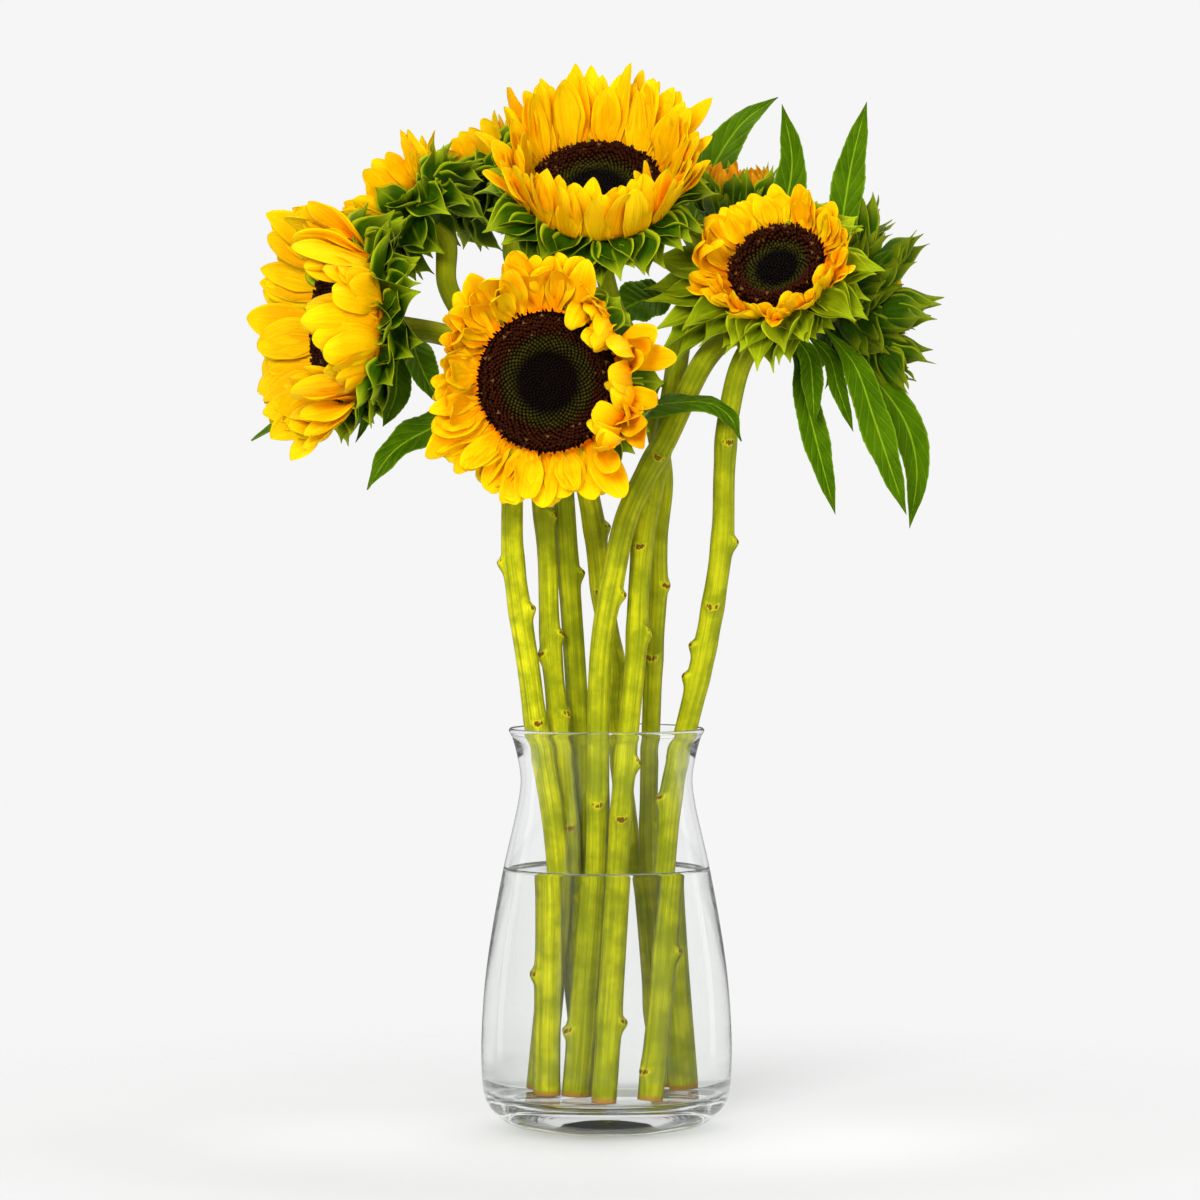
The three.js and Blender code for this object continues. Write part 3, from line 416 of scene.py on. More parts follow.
def tube_vertices(first, rings, last):
    """(copies, 1 + rings*sides + 1, 3) from poles (copies, 3) and rings (copies, rings, sides, 3)."""
    copies, width = rings.shape[0], rings.shape[-1]
    return np.concatenate([first[:, None], rings.reshape(copies, -1, width), last[:, None]], 1)


def closed_tube(rings):
    """Rings with a pole at the middle of the first of them and of the last."""
    return tube_vertices(rings[:, 0].mean(1), rings, rings[:, -1].mean(1))


def marked(shape, *values):
    """Marks of the points of a grid, with each value spread over the whole grid."""
    return np.stack([np.zeros(shape) + value for value in values], -1)


def tube_shape(verts, marks, rings, sides):
    """The (vertices, quads, triangles, marks) of one or more tubes."""
    quads, tris = tube_faces(rings, sides, len(verts))
    return verts.reshape(-1, 3), quads, tris, marks.reshape(-1, 4)


def joined(parts):
    """One (vertices, quads, triangles, marks) from several, with their point numbers shifted."""
    start, verts, quads, tris, marks = 0, [], [], [], []
    for v, q, t, m in parts:
        verts.append(v)
        quads.append(q + start)
        tris.append(t + start)
        marks.append(m)
        start += len(v)
    return np.concatenate(verts), np.concatenate(quads), np.concatenate(tris), np.concatenate(marks)


def signed_volume(verts, quads, tris):
    """Six times the volume inside, above zero where faces point outwards."""
    fans = np.concatenate([quads[:, [0, 1, 2]], quads[:, [0, 2, 3]], tris])
    a, b, c = verts[fans[:, 0]], verts[fans[:, 1]], verts[fans[:, 2]]
    return float(np.einsum("ij,ij->", a, np.cross(b, c)))


def make_piece(name, shape, material, replaced):
    """Puts one closed shape (millimetres, with a mark of four numbers on each vertex) into a mesh
    with its faces outwards, hides the nodes that it stands for and makes it ride on the body."""
    verts, quads, tris, marks = shape
    if signed_volume(verts, quads, tris) < 0:
        quads, tris = quads[:, ::-1], tris[:, ::-1]
    mesh = bpy.data.meshes.new(name)
    mesh.vertices.add(len(verts))
    mesh.vertices.foreach_set("co", (verts * MM).astype(np.float32).ravel())
    mesh.loops.add(4 * len(quads) + 3 * len(tris))
    mesh.loops.foreach_set("vertex_index", np.concatenate([quads.ravel(), tris.ravel()]).astype(np.int32))
    starts = np.concatenate([np.arange(len(quads)) * 4, 4 * len(quads) + np.arange(len(tris)) * 3])
    mesh.polygons.add(len(starts))
    mesh.polygons.foreach_set("loop_start", starts.astype(np.int32))
    mesh.polygons.foreach_set("use_smooth", np.ones(len(starts), bool))
    for label, columns, kind in (("mark", slice(0, 3), "FLOAT_VECTOR"), ("extra", 3, "FLOAT")):
        attribute = mesh.attributes.new(label, kind, "POINT")
        values = np.ascontiguousarray(marks[:, columns], np.float32).ravel()
        attribute.data.foreach_set("vector" if kind == "FLOAT_VECTOR" else "value", values)
    mesh.update(calc_edges=True)
    if mesh.validate(clean_customdata=False):
        raise RuntimeError(f"{name} had faces that could not be kept")
    mesh.materials.append(material)
    piece = bpy.data.objects.new(name, mesh)
    bpy.context.scene.collection.objects.link(piece)
    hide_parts(*replaced)
    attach(piece, BODY)


def turned(profile, sides, mark=(0, 0, 0, 0)):
    """A surface of revolution about Z. The profile (radius, height) starts and ends on the axis."""
    profile = np.asarray(profile, float)
    radius, height = profile[:, :1, None], profile[:, 1:, None]
    rings = (radius * outward(circle(sides)) + height * UP)[None]
    verts = tube_vertices(rings[:, 0, 0] * UP, rings[:, 1:-1], rings[:, -1, 0] * UP)
    return tube_shape(verts, marked(verts.shape[:2], *mark), len(profile) - 2, sides)


def facing_of(number):
    """The unit vector that a head's disc faces."""
    return unit(np.array(FLOWERS[number]["facing"], float))


def placed(shape, number):
    """A shape of a head's own frame, whose axes are right, top and facing, moved to its place."""
    facing = facing_of(number)
    top = unit(UP - (UP @ facing) * facing)
    verts, quads, tris, marks = shape
    verts = verts @ np.stack([np.cross(top, facing), top, facing])
    return verts + np.array(FLOWERS[number]["centre"], float), quads, tris, marks


def stalk_line(number):
    """The smooth centre line of a stalk from its foot to the underside of its head."""
    diameter, points, _ = STALKS[number]
    centre, facing = np.array(FLOWERS[number]["centre"], float), facing_of(number)
    line = np.array(points, float)
    lean = unit(line[1] - line[0])
    line[0, 2] = GLASS_FLOOR + END_GAP + diameter / 2 * math.sqrt(1 - lean[2] ** 2)
    ends = [centre - facing * (HEAD_DEPTH + STRAIGHT), centre - facing * (HEAD_DEPTH + END_GAP)]
    return smooth_line(np.vstack([line, ends]))


# ------------------------------------------------------------------ blades of a head

# the grid of every blade: shares of its length, closer towards the tip, and angles round its section
ALONG_BLADE = 1 - (1 - np.linspace(0, 0.994, 26)) ** 1.15
AROUND_BLADE = circle(22)


def blade_rules(number, kind, filler):
    """How each blade of a head grows, as arrays over its blades: where it springs from the wall, its
    way out, lift, curl, length and width, each with its own draw. Filler is 0 for the blades of the
    solids, and counts on for rows of filler blades, which stand part of a step further round."""
    flower, petal = FLOWERS[number], kind == "petals"
    rows, count, length, width, lift, curl = flower[kind]
    if petal:
        widen, fillers, _, unruly, further = RAY_LOOKS[number]
        sectors = flower["petal_sectors"] + further
    else:
        widen, fillers, droop, further = BRACT_LOOKS[number]
        sectors = flower["bract_sectors"] + further
        unruly = BRACT_UNRULY
    total = rows * count
    item = np.arange(total)
    row = item % rows
    series = number * 10 + (0 if petal else 5) + ROW_DRAWS * filler
    facet = (item + filler / (fillers + 1)) * 360 / total
    azimuth = facet + 22 * spread(item, series) / count
    lift = lift - (11 if petal else 13) * row + (4 + 5 * unruly) * spread(item, series + 1)
    curl = curl + (6 + 14 * unruly) * spread(item, series + 2)
    length = length * (1 + (0.08 + 0.05 * unruly) * spread(item, series + 3))
    uneven = 1 + 0.4 * unruly * spread(item, series + 12)
    for low, high, add_lift, add_curl, factor in sectors:
        inside = in_sector(azimuth, low, high)
        lift = lift + add_lift * inside
        curl = curl + add_curl * inside * uneven
        length = length * np.where(inside, factor, 1)
    disc, flat = flower["disc"], math.cos(math.pi / total)
    if petal:
        seats = np.array(PETAL_SEATS)[row]
        radius = np.full(total, (disc + RING_OUT) * flat)
        height = RING_BASE + (RING_TOP - RING_BASE) * seats[:, 0]
    else:
        seats = np.array(BRACT_SEATS)[row] - np.array([0.12 * filler, 0])
        lift = lift - droop * filler
        rim = disc + CUP_OUT
        low_radius = max(rim * BOWL_SHARE, STALKS[number][0] / 2 + 2.2)
        radius = np.where(row == 0, rim, low_radius + (rim - low_radius) * seats[:, 0]) * flat
        bowl = BOWL_LOW + (CUP_TOP - CUP_WALL - BOWL_LOW) * seats[:, 0]
        height = np.where(row == 0, CUP_TOP - CUP_WALL * (1 - seats[:, 0]), bowl)
    return dict(
        item=item, series=series, facet=facet * DEG, azimuth=azimuth * DEG, lift=lift, curl=curl,
        length=length, width=width * widen * (1 + (0.08 + 0.14 * unruly) * spread(item, series + 4)),
        skew=0.1 * spread(item, series + 5), radius=radius, height=height, start=seats[:, 1],
        cup=(0.26 if petal else 0.6) + 0.3 * unruly * spread(item, series + 13), rise=7.0 if petal else 9.0,
    )


def blade_surfaces(rules, outline, relief, thickness, hook, twist):
    """Thin closed blades, one to an entry of the rules.

    The spine leaves the wall at its start angle, turns to its lift over the first few millimetres
    and gains its curl by the square of the way along, and hook degrees more by the fifth power of it;
    it is the running sum of small steps at that angle. Across the spine the blade reaches half the
    width times the outline, and its edges rise by the cup; the section is an ellipse of that width
    and the thickness, with the relief added to its height. Twist turns the section about the spine."""
    def column(key):
        return rules[key][:, None]

    along = ALONG_BLADE
    way = along[None, :] * column("length")
    risen = np.minimum(1, way / rules["rise"])
    angle = column("start") * (1 - risen) + column("lift") * risen + column("curl") * along**2
    angle = (angle + hook * along**5) * DEG
    middle = (angle[:, 1:] + angle[:, :-1]) / 2
    step = np.diff(way, axis=1)
    zero = np.zeros((len(angle), 1))
    run = np.concatenate([zero, np.cumsum(step * np.cos(middle), 1)], 1)
    climb = np.concatenate([zero, np.cumsum(step * np.sin(middle), 1)], 1)

    out = outward(rules["azimuth"])[:, None]
    aside = quarter_turned(out)
    root = outward(rules["facet"]) * rules["radius"][:, None] + UP * rules["height"][:, None]
    centre = root[:, None] + out * run[..., None] + UP * climb[..., None]
    centre = centre + aside * (column("skew") * column("length") * along**2)[..., None]
    normal = -out * np.sin(angle)[..., None] + UP * np.cos(angle)[..., None]
    turn = (twist * soft_step(along, 0, 0.8) * DEG)[..., None]
    aside, normal = (aside * np.cos(turn) + normal * np.sin(turn),
                     normal * np.cos(turn) - aside * np.sin(turn))

    across = np.cos(AROUND_BLADE)[None, None]
    over = np.sin(AROUND_BLADE)[None, None]
    half = (column("width") / 2 * outline(along, rules))[..., None]
    height = column("cup")[..., None] * half * across**2 + relief(across, along[None, :, None], rules)
    height = height + thickness / 2 * over * (0.25 + 0.75 * np.minimum(1, half / half.max()))
    rings = centre[:, :, None] + aside[:, :, None] * (half * across)[..., None]
    rings = rings + normal[:, :, None] * height[..., None]

    tone = 0.5 + 0.5 * spread(column("item"), rules["series"] + 6)[..., None]
    marks = marked(rings.shape[:3], across, along[None, :, None], tone, np.sign(over))
    return tube_shape(closed_tube(rings), closed_tube(marks), len(along), len(AROUND_BLADE))


def petal_outline(along, rules):
    """Narrow claw, widest past the middle, then an arched tip: a soft step from 0.3 to 1 times
    (1 - x^2.4)^q past 0.45, with q drawn for each ray between a rounded and a pointed tip."""
    item = rules["item"][:, None]
    point = rules["point"] + 0.18 * spread(item, rules["series"] + 7)
    x = np.clip((along - 0.45) / 0.55, 0, 1)
    return (0.3 + 0.7 * soft_step(along, -0.1, 0.5)) * np.maximum(1 - x**2.4, 1e-4) ** point


def petal_relief(across, along, rules):
    """Lengthwise folds, a cosine of nearly three waves across the ray, and edges that wave up and down
    along it."""
    item = rules["item"][:, None, None]
    series = rules["series"]
    body = np.sin(np.pi * np.clip(along, 0, 1)) ** 0.6
    folds = 0.5 * np.cos(2.9 * np.pi * across + 0.8 * spread(item, series + 8))
    edge = across * np.abs(across)
    ripple = 1.3 * edge * np.sin(7 * along + 3 * spread(item, series + 9))
    ripple = ripple + 0.5 * np.abs(edge) * np.sin(13 * along + 3 * spread(item, series + 14))
    return body * (folds + ripple)


def bract_outline(along, rules):
    """Broad and rounded to the middle, then drawn out into a thin tip: a smooth curve through the
    shares of the table."""
    return curve_value(along, BRACT_STATIONS, BRACT_WIDTHS)[None] + 0 * rules["item"][:, None]


def bract_relief(across, along, rules):
    """A groove along the middle and a waved edge: a narrow bell across, and a sine along times |x|^3."""
    item = rules["item"][:, None, None]
    phase = 3 * spread(item, rules["series"] + 8)
    body = np.sin(np.pi * np.clip(along, 0, 1)) ** 0.7
    edge = 1.5 * np.sign(across) * np.abs(across) ** 3 * np.sin(11 * along + phase)
    return body * (edge - 0.6 * np.exp(-((across / 0.2) ** 2)))


def hairs(roots, directions, length, width, mark):
    """Fine hairs as slender three-sided spikes: a ring of three points round each root, and a tip at
    the hair's length along its direction."""
    along = unit(directions)
    aside = unit(np.cross(along, np.array([0.31, 0.27, 0.91])))
    other = np.cross(along, aside)
    angle = circle(3)[None, :, None]
    spokes = aside[:, None] * np.cos(angle) + other[:, None] * np.sin(angle)
    rings = roots[:, None] + spokes * width / 2
    verts = tube_vertices(roots - along * width / 2, rings[:, None], roots + along * length[:, None])
    return tube_shape(verts, marked(verts.shape[:2], *mark), 1, 3)


def edge_hairs(verts, count):
    """Hairs along both edges of thin blades, given as their points and their number, each at an even
    share of the edge with its own draw, pointing away from the midrib and a little forwards."""
    rings, sides = len(ALONG_BLADE), len(AROUND_BLADE)
    grid = verts.reshape(count, -1, 3)[:, 1:-1].reshape(count, rings, sides, 3)
    place = np.linspace(0.15, 0.9, HAIRS_PER_EDGE)
    item = np.arange(count * HAIRS_PER_EDGE).reshape(count, HAIRS_PER_EDGE)
    blade = np.arange(count)[:, None]
    roots, directions = [], []
    for here, there in ((0, sides // 2), (sides // 2, 0)):
        at = (place[None] + 0.012 * spread(item, here + 51)) * (rings - 1)
        low = at.astype(int)
        part = (at - low)[..., None]
        edge, far = (grid[blade, low, side] * (1 - part) + grid[blade, low + 1, side] * part
                     for side in (here, there))
        ahead = unit(grid[blade, low + 1, here] - grid[blade, low, here])
        roots.append(edge.reshape(-1, 3))
        directions.append((unit(edge - far) + 0.7 * ahead).reshape(-1, 3))
    roots, directions = np.concatenate(roots), np.concatenate(directions)
    item = np.arange(len(roots))
    directions = directions + 0.35 * np.stack([spread(item, draw) for draw in (61, 62, 63)], -1)
    length = HAIR_LENGTH + 0.35 * spread(item, 64)
    return hairs(roots, directions, length, HAIR_WIDTH, (1, 0.8, 0.5, 1))


# ------------------------------------------------------------------ node helpers


def put(tree, kind, inputs=None, **settings):
    """Adds a node. Inputs maps a socket's name or number to a value or to another node's output."""
    node = tree.nodes.new(kind)
    for key, value in settings.items():
        setattr(node, key, value)
    for key, value in (inputs or {}).items():
        if isinstance(value, bpy.types.NodeSocket):
            tree.links.new(value, node.inputs[key])
        else:
            node.inputs[key].default_value = value
    return node


def opaque(colour):
    """A plain colour with its alpha. Another node's output stays as it is."""
    return colour if isinstance(colour, bpy.types.NodeSocket) else (*colour, 1)[:4]


def shade(colour, factor):
    """A plain colour made lighter or darker."""
    return tuple(min(1, factor * part) for part in colour)


def maths(tree, operation, a, b=0.0, c=0.0):
    """A sum, product or other function of up to three values."""
    return put(tree, "ShaderNodeMath", {0: a, 1: b, 2: c}, operation=operation).outputs[0]


def times(tree, a, b):
    """The product of two values."""
    return maths(tree, "MULTIPLY", a, b)


def mixed(tree, factor, a, b, blend="MIX"):
    """Colour a turned into colour b by the factor."""
    inputs = {0: factor, 6: opaque(a), 7: opaque(b)}
    return put(tree, "ShaderNodeMix", inputs, data_type="RGBA", blend_type=blend).outputs[2]


def layered(tree, colour, layers):
    """A colour under layers of others, each a mask, the share of it that shows, and its colour."""
    for mask, share, over in layers:
        colour = mixed(tree, mask if share == 1 else times(tree, mask, share), colour, over)
    return colour


def remapped(tree, value, low, high, to_low=0.0, to_high=1.0):
    """A value's part between low and high, eased, as a number between to_low and to_high."""
    inputs = {0: value, 1: low, 2: high, 3: to_low, 4: to_high}
    return put(tree, "ShaderNodeMapRange", inputs, interpolation_type="SMOOTHSTEP").outputs[0]


def band(tree, value, start, end):
    """1 between two eased edges, each given from where it is 0 to where it is 1."""
    return times(tree, remapped(tree, value, *start), remapped(tree, value, *end))


def ramped(tree, value, stops):
    """A colour ramp with (position, colour) stops."""
    node = put(tree, "ShaderNodeValToRGB", {0: value})
    elements = node.color_ramp.elements
    while len(elements) < len(stops):
        elements.new(0.5)
    for element, (position, colour) in zip(elements, stops):
        element.position = position
        element.color = opaque(colour)
    return node.outputs[0]


def noise(tree, vector, scale, detail=2.0, rough=0.5):
    """Soft noise between 0 and 1, with more and more of finer grain as detail grows."""
    values = {"Vector": vector, "Scale": scale, "Detail": detail, "Roughness": rough}
    return put(tree, "ShaderNodeTexNoise", values).outputs[0]


def object_place(tree):
    """Object coordinates, in metres."""
    return put(tree, "ShaderNodeTexCoord").outputs["Object"]


def three_parts(tree, vector):
    """X, Y and Z of a vector."""
    return put(tree, "ShaderNodeSeparateXYZ", {0: vector}).outputs


def vector_of(tree, x, y, z):
    """The vector of three values."""
    return put(tree, "ShaderNodeCombineXYZ", {0: x, 1: y, 2: z}).outputs[0]


def shared_group(name, inputs, outputs, draw):
    """The shader group of that name, with float inputs (name, default) and float outputs. It is built
    once: draw adds its nodes between the sockets where values come in and those where they leave."""
    if name not in bpy.data.node_groups:
        tree = bpy.data.node_groups.new(name, "ShaderNodeTree")
        for label, default in inputs:
            socket = tree.interface.new_socket(label, in_out="INPUT", socket_type="NodeSocketFloat")
            socket.default_value = default
        for label in outputs:
            tree.interface.new_socket(label, in_out="OUTPUT", socket_type="NodeSocketFloat")
        draw(tree, tree.nodes.new("NodeGroupInput").outputs, tree.nodes.new("NodeGroupOutput").inputs)
    return bpy.data.node_groups[name]


def draw_fibres(tree, source, result):
    """Noise drawn out along a blade or a stalk."""
    x = times(tree, source["Across"], source["Fineness"])
    y = times(tree, source["Along"], source["Stretch"])
    value = noise(tree, vector_of(tree, x, y, times(tree, source["Seed"], 37.0)), 1.0, 3.0, 0.6)
    tree.links.new(remapped(tree, value, 0.3, 0.7), result["Mask"])


def fibres(tree, marks, fineness, stretch):
    """The mask of fine lengthwise fibres on a blade."""
    inputs = [("Across", 0), ("Along", 0), ("Seed", 0), ("Fineness", 8), ("Stretch", 1)]
    group = shared_group("Lengthwise Fibres", inputs, ["Mask"], draw_fibres)
    values = dict(Across=marks[0], Along=marks[1], Seed=marks[2], Fineness=fineness, Stretch=stretch)
    return put(tree, "ShaderNodeGroup", values, node_tree=group).outputs["Mask"]


def draw_mottling(tree, source, result):
    """Soft noise on object coordinates."""
    value = noise(tree, object_place(tree), source["Scale"], 4.0, 0.55)
    tree.links.new(remapped(tree, value, 0.32, 0.68), result["Mask"])


def mottling(tree, scale):
    """The mask of soft blotches over a piece, or of fine grain at a large scale."""
    group = shared_group("Mottling", [("Scale", 60)], ["Mask"], draw_mottling)
    return put(tree, "ShaderNodeGroup", {"Scale": scale}, node_tree=group).outputs["Mask"]


def draw_veins(tree, source, result):
    """The midrib, and side veins that leave it forwards at even steps, where
    steps*along - slant*|across|^0.8 is near a whole number."""
    away = maths(tree, "ABSOLUTE", source["Across"])
    rib = maths(tree, "DIVIDE", away, source["Rib"])
    tree.links.new(remapped(tree, rib, 1.6, 0.5), result["Rib"])
    phase = times(tree, source["Along"], source["Steps"])
    back = times(tree, maths(tree, "POWER", away, 0.8), source["Slant"])
    wave = maths(tree, "PINGPONG", maths(tree, "SUBTRACT", phase, back), 0.5)
    tree.links.new(remapped(tree, wave, 0.075, 0.012), result["Side"])
    tree.links.new(remapped(tree, wave, 0.0, 0.3), result["Swell"])


def leaf_veins(tree, marks, rib):
    """The masks of a leaf's midrib and side veins and of the swelling between them, at the places
    where the leaf's surface has them."""
    inputs = [("Across", 0), ("Along", 0), ("Steps", 9), ("Slant", 1.4), ("Rib", 0.07)]
    group = shared_group("Leaf Veins", inputs, ["Rib", "Side", "Swell"], draw_veins)
    values = dict(Across=marks[0], Along=marks[1], Steps=SIDE_VEINS, Slant=VEIN_SLANT, Rib=rib)
    return put(tree, "ShaderNodeGroup", values, node_tree=group).outputs


def made_once(name, paint, *values):
    """The material of that name. Where it is new, paint adds its nodes."""
    if name not in bpy.data.materials:
        material = bpy.data.materials.new(name)
        material.use_nodes = True
        paint(material.node_tree, *values)
    return bpy.data.materials[name]


def read_marks(tree):
    """The four marks of a vertex."""
    mark = put(tree, "ShaderNodeAttribute", attribute_name="mark").outputs["Vector"]
    extra = put(tree, "ShaderNodeAttribute", attribute_name="extra").outputs["Fac"]
    return (*three_parts(tree, mark), extra)


def main_shader(tree, constants):
    """A material's own shader, with constants on its sockets."""
    shader = tree.nodes["Principled BSDF"]
    for key, value in constants.items():
        shader.inputs[key].default_value = value
    return shader


def finish(tree, colour, roughness, height, depth, strength, constants):
    """Colour, roughness, a bump as deep as depth (metres) where height is 1, and the constants."""
    shader = main_shader(tree, constants)
    tree.links.new(colour, shader.inputs["Base Color"])
    tree.links.new(roughness, shader.inputs["Roughness"])
    bump = put(tree, "ShaderNodeBump", {"Height": height, "Distance": depth, "Strength": strength})
    tree.links.new(bump.outputs[0], shader.inputs["Normal"])


def living(gloss, tint, soaks, reach, depth):
    """Constants of living tissue: how strong its gloss is and of what colour, the share of the light
    that soaks in, how far its red, green and blue go, and the depth (metres) of that."""
    return {
        "Specular IOR Level": gloss, "Specular Tint": opaque(tint), "Subsurface Weight": soaks,
        "Subsurface Radius": reach, "Subsurface Scale": depth,
    }


# ------------------------------------------------------------------ materials


def paint_clear(tree, tint, ior, edge_shade):
    """Clear glass or water: a smooth refracting shader that lets light through to what is behind it.
    Its upright walls are painted darker where they are seen at a grazing angle: painted shade that
    stands in for the dark outlines of thick glass."""
    shader = main_shader(tree, {
        "Transmission Weight": 1.0, "Metallic": 0.0, "IOR": ior, "Specular Tint": (0.25, 0.26, 0.26, 1)})
    place = object_place(tree)
    film = noise(tree, place, 45.0, 3.0)
    tree.links.new(remapped(tree, film, 0.35, 0.75, 0.0, 0.012), shader.inputs["Roughness"])
    # painted shade: the upright walls turn dark grey-green where they are seen at a grazing angle
    facing = put(tree, "ShaderNodeLayerWeight", {"Blend": 0.5}).outputs["Facing"]
    grazing = remapped(tree, facing, 0.78, 1.0, 0.0, edge_shade)
    up = three_parts(tree, put(tree, "ShaderNodeNewGeometry").outputs["Normal"])[2]
    upright = remapped(tree, maths(tree, "ABSOLUTE", up), 0.75, 0.35)
    below_rim, above_foot = (0.228, 0.215), (0.014, 0.032)
    wall = band(tree, three_parts(tree, place)[2], below_rim, above_foot)
    grazing = times(tree, times(tree, grazing, upright), wall)
    clear = mixed(tree, film, tint, shade(tint, 0.985))
    tree.links.new(mixed(tree, grazing, clear, (0.12, 0.14, 0.135)), shader.inputs["Base Color"])
    wave = noise(tree, place, 22.0, 1.0)
    bump = put(tree, "ShaderNodeBump", {"Height": wave, "Distance": 0.0002, "Strength": 0.15})
    tree.links.new(bump.outputs[0], shader.inputs["Normal"])
    through = put(tree, "ShaderNodeBsdfTransparent", {"Color": opaque(tint)}).outputs[0]
    shadow = put(tree, "ShaderNodeLightPath").outputs["Is Shadow Ray"]
    mix = put(tree, "ShaderNodeMixShader", {0: shadow, 1: shader.outputs[0], 2: through})
    tree.links.new(mix.outputs[0], tree.nodes["Material Output"].inputs["Surface"])


def paint_ray(tree, root, body, tip):
    """Golden ray: deeper orange at its root and darker along fine lengthwise lines, partly its own colour
    and partly painted shade where the rays overlap and fold; each ray a little different, and some rays
    darker at random as painted shade of rays in shadow. Marks: across, along, draw of the ray, upper
    side."""
    across, along, tone, upper = marks = read_marks(tree)
    lines = fibres(tree, marks, 7.0, 0.9)
    fine = fibres(tree, marks, 24.0, 1.3)
    # deeper orange at the root: partly the ray's own colour, partly painted shade where rays overlap
    colour = ramped(tree, along, [(0.0, root), (0.38, body), (0.7, body), (1.0, tip)])
    darker = mixed(tree, 1.0, colour, (0.97, 0.72, 0.3), "MULTIPLY")
    colour = layered(tree, colour, [
        # darker along the fine lines: partly the ray's veins, partly painted shade in its folds
        (lines, 0.5, darker),
        (fibres(tree, marks, 2.2, 1.6), 0.35, tip),
        (remapped(tree, tone, 0.5, 1.0, 0.0, 0.5), 1, tip),
        # some rays darker at random: painted shade of rays in shadow
        (remapped(tree, tone, 0.45, 0.05, 0.0, 0.55), 1, darker),
        (mottling(tree, 55.0), 0.25, darker),
        (remapped(tree, maths(tree, "ABSOLUTE", across), 0.8, 1.0), 0.4, tip),
        (remapped(tree, upper, 0.2, -0.2, 0.0, 0.06), 1, darker),
    ])
    height = maths(tree, "ADD", lines, times(tree, fine, 0.4))
    finish(tree, colour, remapped(tree, fine, 0.0, 1.0, 0.42, 0.62), height, 0.0003, 0.7,
           living(0.3, (1, 0.8, 0.15), 0.25, (1.0, 0.55, 0.08), 0.003))


def paint_leaf(tree, face, deep, vein, under_side):
    """Deep green leaf: paler midrib and side veins, puffed between them, a pale underside. Marks:
    across, along, draw of the leaf, upper side."""
    across, _, tone, upper = marks = read_marks(tree)
    veins = leaf_veins(tree, marks, 0.05)
    fine = mottling(tree, 900.0)
    edge = remapped(tree, maths(tree, "ABSOLUTE", across), 0.86, 1.0, 0.0, 0.45)
    pale = mixed(tree, times(tree, veins["Side"], 0.5), under_side, vein)
    colour = layered(tree, deep, [
        (mottling(tree, 70.0), 1, face), (fine, 0.35, face), (tone, 0.3, face),
        (veins["Side"], 0.22, vein), (edge, 1, vein), (veins["Rib"], 0.75, vein),
        (remapped(tree, upper, 0.2, -0.2), 1, pale),
    ])
    height = maths(tree, "ADD", veins["Swell"], times(tree, fine, 0.3))
    finish(tree, colour, remapped(tree, fine, 0.0, 1.0, 0.3, 0.46), height, 0.0004, 0.8,
           living(0.36, (0.75, 0.95, 0.1), 0.08, (0.3, 0.8, 0.1), 0.0015))


def paint_bract(tree, face, deep, rim):
    """Green bract or cup: lengthwise nerves, and a pale midrib, rim and tip; the pale of the rim is partly
    its own colour and partly a painted highlight along its edges. Marks: across, along, draw of the bract."""
    across, along, tone, _ = marks = read_marks(tree)
    lines = fibres(tree, marks, 6.0, 1.5)
    fine = mottling(tree, 1100.0)
    aside = maths(tree, "ABSOLUTE", across)
    colour = layered(tree, deep, [
        (lines, 0.6, face), (mottling(tree, 80.0), 0.4, face),
        (remapped(tree, along, 0.5, 1.0, 0.0, 0.8), 1, rim),
        # partly painted highlight: the edges lightened towards the rim colour, partly its own pale margin
        (remapped(tree, aside, 0.84, 0.97, 0.0, 0.85), 1, rim),
        (remapped(tree, aside, 0.1, 0.02, 0.0, 0.3), 1, rim),
        (tone, 0.3, deep),
    ])
    height = maths(tree, "ADD", lines, times(tree, fine, 0.5))
    finish(tree, colour, remapped(tree, fine, 0.0, 1.0, 0.42, 0.6), height, 0.0003, 0.8,
           living(0.4, (0.8, 0.95, 0.2), 0.1, (0.4, 0.9, 0.1), 0.0015))


